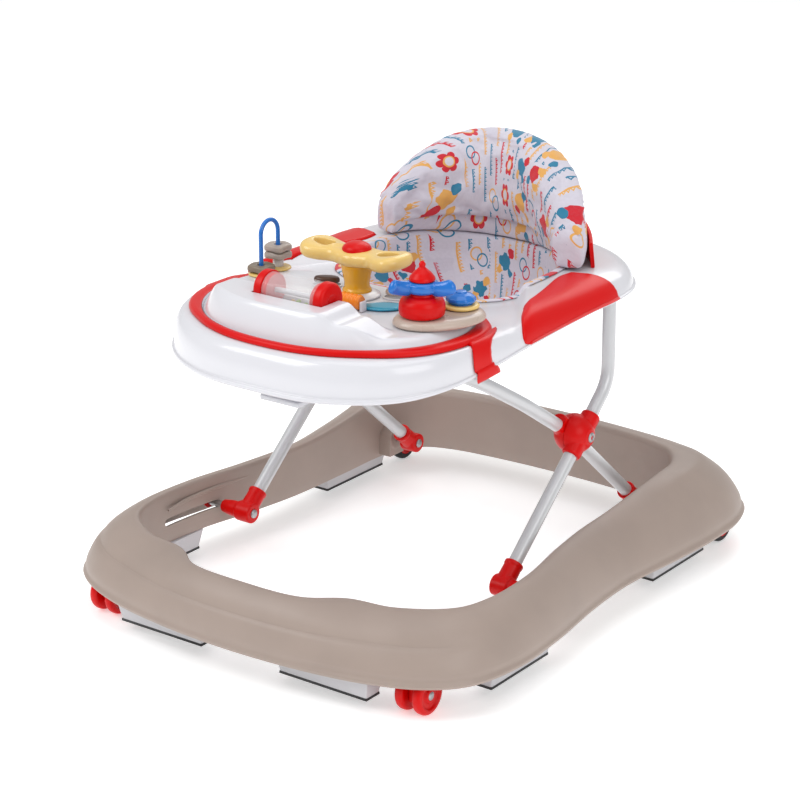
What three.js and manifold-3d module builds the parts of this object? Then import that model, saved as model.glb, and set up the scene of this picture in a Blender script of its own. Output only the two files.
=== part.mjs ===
// Baby walker: a moulded base on wheels, a scissor frame, a seat ring with a padded backrest and a toy tray.
// Millimetres, +Z up, the child faces -Y, x = 0 is the plane of symmetry and z = 0 is the floor.
import * as THREE from "three";
import { mergeVertices } from "three/addons/utils/BufferGeometryUtils.js";
import Module from "manifold-3d";

const wasm = await Module();
wasm.setup();

// ---- driving dimensions ----
const GAP = 0.4; // clearance between pieces that touch
const WALL = 3; // wall of the moulded shells
const WHEEL_RADIUS = 22.5;
const FRONT_WHEEL = { x: 220, y: -296 };
const REAR_WHEEL = { x: 244, y: 308 };
const BASE_BOTTOM = 38;
const PAD_BOTTOM = 12;

const TUBE_RADIUS = 8;
const TUBE_BORE = 6.4;
const REAR_LEG_X = 188; // the pair that slides in the base and carries the ring
const FRONT_LEG_X = 170; // the pair that is pinned to the base and runs under the tray
const FOOT_Z = 64;
const SLIDING_FOOT_Y = -90;
const PINNED_FOOT_Y = 226;
const HUB = { y: 68, z: 199 };
const ARM_PIVOT = { x: 179, y: 138, z: 350 };
const RACK_BAR = { y: -150, z: 336 };
const FOLD_LIMIT_DEG = 24;
const RING_TILT_RATIO = 0.4; // ring tilt for each degree of fold

const DECK_Z = 375; // top face of the seat ring round the child
const TRAY_DECK_Z = 365; // and in front, under the toy tray
const TRAY_FLOOR_Z = 379;
const TRAY_CENTRE = { x: 0, y: -165 };
const RATTLE = { x: -2, y: -216, z: 406, radius: 20, half: 36 };
const STEERING = { x: 0, y: -112, z: 425 };
const TOWER = { x: 122, y: -156 };
const KNOB = { x: 139, y: -107 };
const BOWL = { x: 131, y: -136, long: 54, short: 38, turn: 62 };
const BEAD_ARCH = { x: -138, rearY: -82, frontY: -113, top: 441, wire: 2.6 };
const BEAD = { half: 14, thick: 8, bore: 3.8, corner: 5 };
const TOY_SEAT_Z = TRAY_FLOOR_Z + GAP; // where the toys stand on the tray
const BOWL_TOP = TOY_SEAT_Z + 10;
const PROPELLER_Z = BOWL_TOP + GAP + 26.4;
const ROLLER = { x: 27, y: -158, radius: 8.5, half: 14 };
const KEY_TRAVEL = 4;
const HORN_TRAVEL = 3;

const RED = 0xd4000f;
const WHITE = 0xf1f0f3;
const TAUPE = 0xac9f95;
const YELLOW = 0xe8c46a;
const BLUE = 0x0a78d0;

// ---- helpers ----
function toSolid(geometry) {
  const bare = new THREE.BufferGeometry().setAttribute("position", geometry.getAttribute("position"));
  if (geometry.index) bare.setIndex(geometry.index);
  const merged = mergeVertices(bare, 1e-3);
  const mesh = new wasm.Mesh({
    numProp: 3,
    vertProperties: new Float32Array(merged.attributes.position.array),
    triVerts: new Uint32Array(merged.index.array),
  });
  return new wasm.Manifold(mesh);
}

function toGeometry(solid) {
  const mesh = solid.getMesh();
  const geometry = new THREE.BufferGeometry();
  geometry.setAttribute("position", new THREE.BufferAttribute(new Float32Array(mesh.vertProperties), 3));
  geometry.setIndex(new THREE.BufferAttribute(new Uint32Array(mesh.triVerts), 1));
  return geometry;
}

const joined = (first, ...others) =>
  toGeometry(others.reduce((solid, other) => solid.add(toSolid(other)), toSolid(first)));
const cut = (first, ...others) =>
  toGeometry(others.reduce((solid, other) => solid.subtract(toSolid(other)), toSolid(first)));

function block(x0, x1, y0, y1, z0, z1) {
  const shape = new THREE.BoxGeometry(x1 - x0, y1 - y0, z1 - z0);
  return shape.translate((x0 + x1) / 2, (y0 + y1) / 2, (z0 + z1) / 2);
}

// A solid of revolution about an axis; profile points are [radius, distance along the axis].
function turned(profile, axis, x, y, z, sides = 16) {
  const shape = new THREE.LatheGeometry(profile.map(([r, h]) => new THREE.Vector2(r, h)), sides);
  if (axis === "x") shape.rotateZ(-Math.PI / 2);
  if (axis === "z") shape.rotateX(Math.PI / 2);
  return shape.translate(x, y, z);
}

function rod(radius, from, to, axis, x, y, z, sides = 14) {
  return turned([[0, from], [radius, from], [radius, to], [0, to]], axis, x, y, z, sides);
}

// A plate cut from an outline in plan, from z0 up to z1.
function plate(shape, z0, z1, segments = 12) {
  const made = new THREE.ExtrudeGeometry(shape, { depth: z1 - z0, bevelEnabled: false, curveSegments: segments });
  return made.translate(0, 0, z0);
}

// The route of a bent tube: straight runs between points, with a curve of the given reach at every inner point.
function bentRoute(points, bend) {
  const corners = points.map((p) => new THREE.Vector3(...p));
  const route = [corners[0]];
  corners.slice(1, -1).forEach((corner, i) => {
    const before = corners[i].clone().sub(corner);
    const after = corners[i + 2].clone().sub(corner);
    const reach = Math.min(bend, before.length() / 2.2, after.length() / 2.2);
    const enter = corner.clone().add(before.setLength(reach));
    const leave = corner.clone().add(after.setLength(reach));
    route.push(...new THREE.QuadraticBezierCurve3(enter, corner, leave).getPoints(2));
  });
  route.push(corners.at(-1));
  return route;
}

// A round bar along a route, with a flat end at each side; its section is carried along without twist.
function bar(route, radius, sides, extend = 0) {
  const turn = new THREE.Quaternion();
  const heading = (i) => {
    const from = route[Math.max(i - 1, 0)];
    return route[Math.min(i + 1, route.length - 1)].clone().sub(from).normalize();
  };
  let ahead = heading(0);
  let across = new THREE.Vector3(1, 0, 0).cross(ahead).normalize();
  const sections = route.map((point, i) => {
    const next = heading(i);
    across = across.clone().applyQuaternion(turn.setFromUnitVectors(ahead, next));
    ahead = next;
    const up = ahead.clone().cross(across);
    const shift = i === 0 ? -extend : i === route.length - 1 ? extend : 0;
    return Array.from({ length: sides }, (_, k) => {
      const angle = (2 * Math.PI * k) / sides;
      const spoke = across.clone().multiplyScalar(Math.cos(angle)).addScaledVector(up, Math.sin(angle));
      return point.clone().addScaledVector(spoke, radius).addScaledVector(ahead, shift);
    });
  });
  return stack(sections);
}

function bentTube(points, bend, radius, bore) {
  const route = bentRoute(points, bend);
  const outside = bar(route, radius, 10);
  return bore ? cut(outside, bar(route, bore, 6, 1)) : outside;
}

// Points of a symmetric closed outline, given its right half from the front centre to the rear centre.
function closedOutline(half, count) {
  const inner = half.slice(1, -1);
  const mirrored = inner.map(([x, ...rest]) => [-x, ...rest]).reverse();
  const ring = [...half, ...mirrored].map(([x, y, z = 0]) => new THREE.Vector3(x, y, z));
  const curve = new THREE.CatmullRomCurve3(ring, true, "centripetal");
  return Array.from({ length: count }, (_, i) => curve.getPoint(i / count));
}

// A closed band: sections[i] is the closed profile at station i. Its faces are turned outwards at the end.
function band(sections) {
  const stations = sections.length;
  const around = sections[0].length;
  const index = [];
  for (let i = 0; i < stations; i++) {
    for (let j = 0; j < around; j++) {
      const a = i * around + j;
      const b = i * around + ((j + 1) % around);
      const c = ((i + 1) % stations) * around + ((j + 1) % around);
      const d = ((i + 1) % stations) * around + j;
      index.push(a, b, c, a, c, d);
    }
  }
  return closedSurface(sections.flat(), index);
}

function closedSurface(points, index) {
  const geometry = new THREE.BufferGeometry().setFromPoints(points);
  geometry.setIndex(index);
  let volume = 0;
  for (let i = 0; i < index.length; i += 3) {
    const [a, b, c] = [points[index[i]], points[index[i + 1]], points[index[i + 2]]];
    volume += a.dot(b.clone().cross(c));
  }
  if (volume < 0) geometry.setIndex(index.map((_, i) => index[3 * Math.floor(i / 3) + 2 - (i % 3)]));
  return geometry;
}

// A skin with an upper and a lower face over the same grid: rows of equal length, capped round its border.
function slab(upper, lower) {
  const rows = upper.length;
  const columns = upper[0].length;
  const points = [...upper.flat(), ...lower.flat()];
  const low = rows * columns;
  const index = [];
  const quad = (a, b, c, d) => index.push(a, b, c, a, c, d);
  for (let i = 0; i < rows - 1; i++) {
    for (let j = 0; j < columns - 1; j++) {
      const a = i * columns + j;
      quad(a, a + 1, a + columns + 1, a + columns);
      quad(low + a, low + a + columns, low + a + columns + 1, low + a + 1);
    }
  }
  for (let j = 0; j < columns - 1; j++) {
    const last = (rows - 1) * columns + j;
    quad(j, low + j, low + j + 1, j + 1);
    quad(last, last + 1, low + last + 1, low + last);
  }
  for (let i = 0; i < rows - 1; i++) {
    const first = i * columns;
    const end = first + columns - 1;
    quad(first, first + columns, low + first + columns, low + first);
    quad(end, low + end, low + end + columns, end + columns);
  }
  return closedSurface(points, index);
}

const mirrorX = (geometry) => {
  const copy = geometry.clone().scale(-1, 1, 1);
  const order = Array.from(copy.index ? copy.index.array : copy.attributes.position.array.keys());
  const count = copy.index ? order.length : copy.attributes.position.count;
  const flipped = [];
  for (let i = 0; i < count; i += 3) flipped.push(order[i + 2], order[i + 1], order[i]);
  copy.setIndex(flipped);
  return copy;
};
const ease = (low, high, value) => THREE.MathUtils.smoothstep(value, low, high);

const walker = new THREE.Group();
walker.name = "baby_walker";
function add(name, geometry, color, roughness = 0.35, metalness = 0) {
  const mesh = new THREE.Mesh(geometry, new THREE.MeshStandardMaterial({ color, roughness, metalness }));
  mesh.name = name;
  walker.add(mesh);
}
// Adds a piece made for the right-hand side (+x) and its mirror image.
function addPair(name, geometry, color, roughness, metalness) {
  add(name + "_right", geometry, color, roughness, metalness);
  add(name + "_left", mirrorX(geometry), color, roughness, metalness);
}

// ---- base ----
const BASE_OUTER = [
  [0, -362], [100, -356], [184, -340], [241, -315], [275, -280], [291, -216], [288, -131], [275, -30],
  [271, 50], [280, 150], [284, 230], [278, 295], [252, 345], [198, 372], [100, 384], [0, 388],
];
const BASE_INNER = [
  [0, -320], [75, -314], [118, -286], [172, -276], [226, -238], [240, -195], [239, -120], [224, -38],
  [214, 40], [212, 140], [212, 205], [206, 245], [184, 276], [150, 290], [85, 298], [0, 301],
];
const baseTopAt = (y) => 103 + 14 * ease(60, 250, y);

function baseSections() {
  const stations = 48;
  const outer = closedOutline(BASE_OUTER, stations);
  const inner = closedOutline(BASE_INNER, stations);
  // [share of the way from the outer edge to the inner one, share of the height]
  const skin = [[0, 0], [-0.03, 0.06], [0.03, 0.22], [0.15, 0.47], [0.32, 0.69], [0.57, 0.88], [0.86, 1], [1, 0.93]];
  return outer.map((from, i) => {
    const to = inner[i];
    const rib = to.clone().sub(from);
    const width = rib.length();
    const rise = baseTopAt(from.y) - BASE_BOTTOM;
    const at = (share, z) => from.clone().addScaledVector(rib, share).setZ(z);
    const face = skin.map(([share, height]) => at(share, BASE_BOTTOM + height * rise));
    const t = WALL / width;
    const underside = [at(1, BASE_BOTTOM), at(1 - t, BASE_BOTTOM), at(1 - t, BASE_BOTTOM + 0.88 * rise - 1),
      at(0.57, BASE_BOTTOM + 0.88 * rise - WALL), at(0.32 + t / 2, BASE_BOTTOM + 0.69 * rise - WALL),
      at(0.15 + t * 0.8, BASE_BOTTOM + 0.46 * rise - 2), at(0.03 + t, BASE_BOTTOM + 0.2 * rise), at(t, BASE_BOTTOM)];
    return [...face, ...underside];
  });
}

const PIN_RADIUS = 4;
const SLIDE_TRAVEL = 83;
const CASTER = { disc: 12, space: 11, stem: 5, top: 62, socket: 50 };
const BRACKET_TOP = 60;
// Blocks inside the channel that carry the swivel stem in front and the wheel bracket behind.
function wheelBlocks(side) {
  const front = FRONT_WHEEL.x * side;
  const rear = REAR_WHEEL.x * side;
  const bored = cut(
    block(front - 11, front + 11, FRONT_WHEEL.y - 11, FRONT_WHEEL.y + 11, CASTER.socket + GAP, 72),
    rod(CASTER.stem + 0.4, 40, CASTER.top + 3, "z", front, FRONT_WHEEL.y, 0, 16),
  );
  return [bored, block(rear - 8, rear + 8, REAR_WHEEL.y - 8, REAR_WHEEL.y + 8, BRACKET_TOP + GAP, BRACKET_TOP + 18)];
}
function baseRing() {
  const slots = [];
  const bosses = [];
  for (const side of [-1, 1]) {
    const [x0, x1] = side > 0 ? [226, 262] : [-262, -226];
    const y0 = SLIDING_FOOT_Y - SLIDE_TRAVEL;
    const half = PIN_RADIUS + 0.8;
    slots.push(block(x0, x1, y0 - half, SLIDING_FOOT_Y + half, FOOT_Z - half, FOOT_Z + half));
    const b0 = side > 0 ? 193 : -214;
    const boss = joined(
      block(b0, b0 + 21, PINNED_FOOT_Y - 15, PINNED_FOOT_Y + 15, BASE_BOTTOM + 6, FOOT_Z),
      rod(15, b0, b0 + 21, "x", 0, PINNED_FOOT_Y, FOOT_Z, 20),
    );
    bosses.push(boss);
  }
  const shell = joined(band(baseSections()), ...bosses, ...wheelBlocks(1), ...wheelBlocks(-1));
  const bore = rod(PIN_RADIUS + 0.3, -240, 240, "x", 0, PINNED_FOOT_Y, FOOT_Z, 16);
  return cut(shell, ...slots, bore);
}

// A tapered friction block under the rim; the footprint is [x0, x1, y0, y1].
function brakePad([x0, x1, y0, y1]) {
  const top = BASE_BOTTOM - GAP;
  const taper = 5;
  const ring = (inset, z) => [[x0 + inset, y0 + inset], [x1 - inset, y0 + inset], [x1 - inset, y1 - inset],
    [x0 + inset, y1 - inset]].map(([x, y]) => new THREE.Vector3(x, y, z));
  return slabFromLoops(ring(0, top), ring(taper, PAD_BOTTOM));
}

// A solid between two parallel closed loops.
function slabFromLoops(top, bottom) {
  const n = top.length;
  const index = [];
  for (let i = 0; i < n; i++) {
    const j = (i + 1) % n;
    index.push(i, j, n + j, i, n + j, n + i);
    if (i > 0 && i < n - 1) index.push(0, j, i, n, n + i, n + j);
  }
  return closedSurface([...top, ...bottom], index);
}

const PADS = { front: [52, 180, -334, -302], side: [238, 272, -232, -112], rear: [228, 262, 122, 250] };

// ---- wheels ----
function casterFork() {
  const { x, y } = FRONT_WHEEL;
  const half = CASTER.space / 2 - 0.5;
  return joined(
    block(x - half, x + half, y - 11, y + 11, 14, 47),
    rod(CASTER.stem, 46, CASTER.top, "z", x, y, 0, 16),
    rod(14, 46, 50, "z", x, y, 0),
    rod(3, -(half + CASTER.disc - 1), half + CASTER.disc - 1, "x", x, y, WHEEL_RADIUS, 14),
  );
}
function casterDisc(inward) {
  const { x, y } = FRONT_WHEEL;
  const r = WHEEL_RADIUS;
  const a = CASTER.space / 2;
  const b = a + CASTER.disc;
  const s = inward ? -1 : 1;
  const profile = [[3.3, a], [r - 3, a], [r, a + 3], [r, b - 3], [r - 3, b],
    [3.3, b], [3.3, a]];
  const made = turned(profile, "x", 0, 0, 0, 16);
  return (s < 0 ? mirrorX(made) : made).translate(x, y, r);
}
const REAR_HALF_WIDTH = 7;
function rearBracket() {
  const { x, y } = REAR_WHEEL;
  const cheek = (x0) => joined(block(x0, x0 + 4, y - 9, y + 9, 16, BRACKET_TOP), rod(9, x0, x0 + 4, "x", 0, y, 16 + 6.5, 16));
  return joined(
    cheek(x - REAR_HALF_WIDTH - 5),
    cheek(x + REAR_HALF_WIDTH + 1),
    block(x - REAR_HALF_WIDTH - 5, x + REAR_HALF_WIDTH + 5, y - 9, y + 9, 48, BRACKET_TOP),
    rod(3, -REAR_HALF_WIDTH - 3, REAR_HALF_WIDTH + 3, "x", x, y, WHEEL_RADIUS, 14),
  );
}
function rearHub() {
  const w = REAR_HALF_WIDTH;
  const profile = [[3.3, -w], [15, -w], [15, w], [3.3, w], [3.3, -w]];
  return turned(profile, "x", REAR_WHEEL.x, REAR_WHEEL.y, WHEEL_RADIUS, 16);
}
function rearTyre() {
  const w = REAR_HALF_WIDTH;
  const r = WHEEL_RADIUS;
  const profile = [[15.3, -w], [r - 3, -w], [r, -w + 3], [r, w - 3], [r - 3, w], [15.3, w], [15.3, -w]];
  return turned(profile, "x", REAR_WHEEL.x, REAR_WHEEL.y, r, 16);
}

// ---- scissor frame ----
const rad = THREE.MathUtils.degToRad;
const legLength = Math.hypot(HUB.y - SLIDING_FOOT_Y, HUB.z - FOOT_Z);
const legAngle = Math.atan2(HUB.z - FOOT_Z, HUB.y - SLIDING_FOOT_Y);

// Where the cross-bar of the front frame lies, in the ring's own frame, when the frame is folded by an angle.
function barInRing(fold) {
  const hub = new THREE.Vector2(
    PINNED_FOOT_Y - legLength * Math.cos(legAngle - fold),
    FOOT_Z + legLength * Math.sin(legAngle - fold),
  );
  const spin = (y, z, angle) => new THREE.Vector2(y, z).rotateAround(new THREE.Vector2(), angle);
  const pivot = spin(ARM_PIVOT.y - HUB.y, ARM_PIVOT.z - HUB.z, -fold).add(hub);
  const bar = spin(RACK_BAR.y - HUB.y, RACK_BAR.z - HUB.z, fold).add(hub);
  const seen = spin(bar.x - pivot.x, bar.y - pivot.y, -RING_TILT_RATIO * fold);
  return seen.add(new THREE.Vector2(ARM_PIVOT.y, ARM_PIVOT.z));
}

const tubeStart = { y: 18 * Math.cos(legAngle), z: 18 * Math.sin(legAngle) }; // from the foot's pin to the tube's end
const rearLegPath = [[REAR_LEG_X, SLIDING_FOOT_Y + tubeStart.y, FOOT_Z + tubeStart.z], [REAR_LEG_X, HUB.y, HUB.z],
  [REAR_LEG_X - 1, 126, 249], [ARM_PIVOT.x, ARM_PIVOT.y, ARM_PIVOT.z + 9]];
const frontLegPath = [[FRONT_LEG_X, PINNED_FOOT_Y - tubeStart.y, FOOT_Z + tubeStart.z], [FRONT_LEG_X, HUB.y, HUB.z],
  [FRONT_LEG_X - 1, -24, 259], [FRONT_LEG_X - 12, -88, 299], [120, RACK_BAR.y, RACK_BAR.z]];
const LEG_BEND = 26;
const hubBore = () => rod(3.4, -220, 220, "x", 0, HUB.y, HUB.z, 12);

function frontFrame() {
  const other = frontLegPath.map(([x, y, z]) => [-x, y, z]).reverse();
  const tube = bentTube([...frontLegPath, ...other], LEG_BEND, TUBE_RADIUS, TUBE_BORE);
  return cut(tube, hubBore());
}

function rearLeg() {
  const tube = bentTube(rearLegPath, LEG_BEND, TUBE_RADIUS, TUBE_BORE);
  return cut(tube, rod(3.4, 160, 204, "x", 0, ARM_PIVOT.y, ARM_PIVOT.z, 12), hubBore());
}

// Clevis cap at the foot of a leg, with its pin; direction is +1 where the leg rises towards +y.
function footCap(x, y, direction, pinFrom, pinTo, headRadius) {
  const lean = -direction * (Math.PI / 2 - legAngle);
  const alongLeg = (shape) => shape.rotateX(lean).translate(x, y, FOOT_Z);
  const round = rod(12.5, x - 11, x + 11, "x", 0, y, FOOT_Z);
  const sleeve = alongLeg(rod(11, 0, 30, "z", 0, 0, 0));
  const bore = alongLeg(rod(TUBE_RADIUS + GAP, 15, 40, "z", 0, 0, 0));
  const solid = cut(joined(round, sleeve), bore);
  const pin = rod(PIN_RADIUS, pinFrom, pinTo, "x", 0, y, FOOT_Z, 14);
  if (!headRadius) return joined(solid, pin);
  return joined(solid, pin, rod(headRadius, pinTo - 0.01, pinTo + 4, "x", 0, y, FOOT_Z, 16));
}

// Half of the ball hub that clamps one leg: a half ball with a collar along the leg.
const HUB_SPLIT = (REAR_LEG_X + FRONT_LEG_X) / 2;
const HUB_RADIUS = 24;
function hubHalf(outer) {
  const x = outer ? REAR_LEG_X : FRONT_LEG_X;
  const ball = new THREE.SphereGeometry(HUB_RADIUS, 12, 6).translate(HUB_SPLIT, HUB.y, HUB.z);
  const collar = rod(11.5, -29, 29, "z", 0, 0, 0, 10);
  collar.rotateX((outer ? -1 : 1) * (Math.PI / 2 - legAngle)).translate(x, HUB.y, HUB.z);
  const [x0, x1] = outer ? [HUB_SPLIT + 0.25, HUB_SPLIT + 40] : [HUB_SPLIT - 40, HUB_SPLIT - 0.25];
  const keep = block(x0, x1, HUB.y - 50, HUB.y + 50, HUB.z - 60, HUB.z + 60);
  const body = toSolid(joined(ball, collar)).intersect(toSolid(keep));
  const room = bentTube(outer ? rearLegPath : frontLegPath, LEG_BEND, TUBE_RADIUS + GAP, 0);
  const headRoom = rod(6.4, HUB_SPLIT + 20, HUB_SPLIT + 60, "x", 0, HUB.y, HUB.z, 14);
  return [room, hubBore(), headRoom].reduce((solid, tool) => solid.subtract(toSolid(tool)), body);
}
function hubBolt() {
  return joined(
    rod(3, HUB_SPLIT - 22, HUB_SPLIT + 21, "x", 0, HUB.y, HUB.z, 14),
    rod(6, HUB_SPLIT + 20.4, HUB_SPLIT + 25, "x", 0, HUB.y, HUB.z, 14),
  );
}

// ---- seat ring ----
const RING_OUTER = [
  [0, -303, 320], [70, -298, 320], [124, -275, 321], [162, -241, 323], [185, -198, 328], [194, -140, 334],
  [198, -70, 342], [199, 0, 347], [199, 70, 350], [198, 120, 350], [191, 165, 350], [171, 203, 350],
  [130, 238, 350], [80, 258, 350], [0, 266, 350],
];
const RING_INNER = [
  [0, -32], [30, -32], [60, -29], [85, -20], [105, -6], [117, 15], [122, 40], [123, 65], [122, 90], [120, 112],
  [113, 135], [97, 158], [70, 176], [36, 184], [0, 186],
];
const deckAt = (y) => TRAY_DECK_Z + (DECK_Z - TRAY_DECK_Z) * ease(-100, -50, y);
const shoulderAt = (y) => 15 + 19 * ease(-190, -70, y) - 12 * ease(150, 260, y);

function ringSections(stations) {
  const outer = closedOutline(RING_OUTER, stations);
  const inner = closedOutline(RING_INNER, stations);
  return outer.map((from, i) => {
    const rim = from.z;
    const to = inner[i].clone().setZ(rim);
    const rib = to.clone().sub(from);
    const width = rib.length();
    const unit = rib.normalize();
    const s = shoulderAt(from.y);
    const top = deckAt(from.y);
    const rise = top - rim;
    const at = (inset, z) => from.clone().addScaledVector(unit, inset).setZ(z);
    const face = [[0, 0], [-1.5, 0.07], [0.5, 0.15], [0.08 * s, 0.45], [0.26 * s, 0.74], [0.6 * s, 0.93], [s, 1]];
    const skin = face.map(([inset, share]) => at(inset, rim + share * rise));
    const hollow = face.slice(3).map(([inset, share]) => at(inset + 2.4, rim + share * rise - 2.6)).reverse();
    return [...skin, at(width - 3, top), at(width, top - 3), at(width, DECK_Z - 24), at(width - WALL, DECK_Z - 24),
      at(width - WALL, top - WALL), ...hollow, at(WALL, rim + 0.12 * rise), at(WALL, rim)];
  });
}

const RING_PLATE = { inner: 164, outer: 168 };
function seatRing() {
  const shell = band(ringSections(42));
  const parts = [];
  for (const side of [-1, 1]) {
    const [a, b] = side > 0 ? [RING_PLATE.inner, RING_PLATE.outer] : [-RING_PLATE.outer, -RING_PLATE.inner];
    parts.push(block(a, b, ARM_PIVOT.y - 13, ARM_PIVOT.y + 13, ARM_PIVOT.z - 12, DECK_Z - 1.5));
    const [p, q] = side > 0 ? [b - 1, 195.5] : [-195.5, a + 1];
    parts.push(rod(3, p, q, "x", 0, ARM_PIVOT.y, ARM_PIVOT.z, 12));
  }
  return joined(shell, ...parts);
}

// Outer skin of the ring pushed outwards by a distance, between two places along the side.
function armrestPanel() {
  const sections = ringSections(84);
  const chosen = sections.filter((section) => section[0].x > 0 && section[0].y > -68 && section[0].y < 128);
  const lift = (section, amount) => section.slice(0, 7).map((point, j) => {
    const before = section[Math.max(j - 1, 0)];
    const after = section[Math.min(j + 1, 6)];
    const along = after.clone().sub(before);
    const out = new THREE.Vector3(along.z, 0, -along.x).normalize();
    return point.clone().addScaledVector(out, amount);
  });
  const flat = (section, amount) => section[6].clone().setX(section[6].x - 22).setZ(DECK_Z + amount);
  const gap = GAP + 0.2;
  const upper = chosen.map((section) => [...lift(section, gap + 2.4), flat(section, gap + 2.4)]);
  const lower = chosen.map((section) => [...lift(section, gap), flat(section, gap)]);
  return slab(upper, lower);
}

// Rack under the tray that holds the cross-bar of the front frame.
const RACK = { half: 40, y0: -262, y1: -130, top: TRAY_DECK_Z - 4 };
function rackHousing() {
  const profile = new THREE.Shape();
  const points = [[RACK.y1, RACK.top], [RACK.y0, RACK.top], [RACK.y0, 308], [RACK.y0 + 10, 302], [RACK.y1 - 60, 303],
    [RACK.y1, 322]];
  points.forEach(([y, z], i) => (i ? profile.lineTo(y, z) : profile.moveTo(y, z)));
  const room = TUBE_RADIUS + 1.5;
  const steps = 7;
  const track = Array.from({ length: steps + 1 }, (_, i) => barInRing(rad((FOLD_LIMIT_DEG + 1) * (i / steps))));
  const slot = new THREE.Path();
  const heading = (i) => track[Math.min(i + 1, steps)].clone().sub(track[Math.max(i - 1, 0)]).normalize();
  const offset = (i, amount) => {
    const h = heading(i);
    return new THREE.Vector2(track[i].x - h.y * amount, track[i].y + h.x * amount);
  };
  const round = (i, from) => {
    const angle = heading(i).angle() + from;
    return [1, 2, 3, 4, 5].map((k) => {
      const a = angle + (k / 6) * Math.PI;
      return new THREE.Vector2(track[i].x + room * Math.cos(a), track[i].y + room * Math.sin(a));
    });
  };
  const order = [...Array(steps + 1).keys()];
  slot.setFromPoints([
    ...order.map((i) => offset(i, room)).reverse(),
    ...round(0, Math.PI / 2),
    ...order.map((i) => offset(i, -room)),
    ...round(steps, -Math.PI / 2),
  ]);
  profile.holes.push(slot);
  const body = plate(profile, -RACK.half, RACK.half).rotateX(Math.PI / 2).rotateZ(Math.PI / 2);
  const leverPocket = block(-20.6, 20.6, -248.6, -231.4, 290, 306.5);
  return cut(body, leverPocket);
}

function rackLever() {
  return joined(block(-20, 20, -248, -232, 294, 301.6), block(-27, 27, -254, -226, 290, 296));
}

// ---- soft parts ----
function seatFabric() {
  const stations = 20;
  const opening = closedOutline(RING_INNER, stations);
  const centre = new THREE.Vector3(0, 82, 0);
  const at = (from, share, grow, z) => {
    const out = from.clone().sub(centre).setZ(0);
    const reach = out.length() * (1 - share) + grow;
    return centre.clone().addScaledVector(out.normalize(), reach).setZ(z);
  };
  const outside = [[0, 378.5, 8], [0, 375.5, 8], [0, 375.5, -1.2], [0, 352, -1.2], [0.06, 328, 0], [0.16, 300, 0],
    [0.3, 276, 0], [0.5, 258, 0], [0.8, 248, 0]];
  const inside = [[0, 378.5, -5], [0, 352, -5.2], [0.06, 329, -4], [0.16, 303, -3], [0.3, 280, -2], [0.5, 262, -1],
    [0.8, 252, 0]];
  const ringAt = ([share, z, grow]) => opening.map((from) => at(from, share, grow, z));
  return cut(cup(outside.map(ringAt), inside.map(ringAt), centre), ...[-1, 1].map(legHole));
}
// A hollow vessel: closed rings from the rim down on both faces, each closed off by a point at the bottom.
function cup(outside, inside, centre) {
  const n = outside[0].length;
  const rings = [...inside.slice().reverse(), ...outside];
  const index = [];
  rings.slice(1).forEach((_, k) => {
    for (let i = 0; i < n; i++) {
      const j = (i + 1) % n;
      index.push(k * n + i, k * n + j, (k + 1) * n + j, k * n + i, (k + 1) * n + j, (k + 1) * n + i);
    }
  });
  const points = rings.flat();
  const tip = (ring) => centre.clone().setZ(ring[0].z);
  const innerTip = points.push(tip(rings[0])) - 1;
  const outerTip = points.push(tip(rings.at(-1))) - 1;
  const last = (rings.length - 1) * n;
  for (let i = 0; i < n; i++) {
    const j = (i + 1) % n;
    index.push(innerTip, j, i, outerTip, last + i, last + j);
  }
  return closedSurface(points, index);
}
function legHole(side) {
  const made = rod(1, 190, 300, "z", 0, 0, 0, 18).scale(34, 44, 1);
  return made.translate(side * 56, 34, 0);
}

// The padded backrest: an upright pad that follows an arc behind the seat opening.
const BACK = { long: 100, wide: 138, centreY: 98, sweep: 1.38, low: DECK_Z + 4.5 };
function backArc(share, outward) {
  const angle = share * BACK.sweep;
  const x = BACK.wide * Math.sin(angle);
  const y = BACK.centreY + BACK.long * Math.cos(angle);
  const out = new THREE.Vector2(Math.sin(angle) / BACK.wide, Math.cos(angle) / BACK.long).normalize();
  return new THREE.Vector2(x + out.x * outward, y + out.y * outward);
}
const backTop = (share) => 404 + 106 * Math.cos(Math.abs(share) * Math.PI / 2) ** 0.66;
function backrestCushion() {
  const columns = 17;
  const half = 15;
  // [distance from the middle of the pad, share of the height]
  const section = [[-half + 3, 0], [-half, 0.06], [-half, 0.8], [-half + 4, 0.93], [-4, 1], [4, 1], [half - 4, 0.93],
    [half, 0.8], [half, 0.06], [half - 3, 0]];
  const rows = Array.from({ length: columns }, (_, i) => {
    const share = (2 * i) / (columns - 1) - 1;
    const top = backTop(share * 0.985);
    return section.map(([outward, height]) => {
      const lean = -12 * height;
      const place = backArc(share, outward + lean * Math.cos(share * BACK.sweep));
      return new THREE.Vector3(place.x, place.y, BACK.low + height * (top - BACK.low));
    });
  });
  return stack(rows);
}
// A closed solid through a run of closed sections, with flat ends.
function stack(sections) {
  const n = sections[0].length;
  const index = [];
  sections.slice(1).forEach((_, k) => {
    for (let i = 0; i < n; i++) {
      const j = (i + 1) % n;
      index.push(k * n + i, k * n + j, (k + 1) * n + j, k * n + i, (k + 1) * n + j, (k + 1) * n + i);
    }
  });
  const last = (sections.length - 1) * n;
  for (let i = 1; i < n - 1; i++) index.push(0, i + 1, i, last, last + i, last + i + 1);
  return closedSurface(sections.flat(), index);
}

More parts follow.
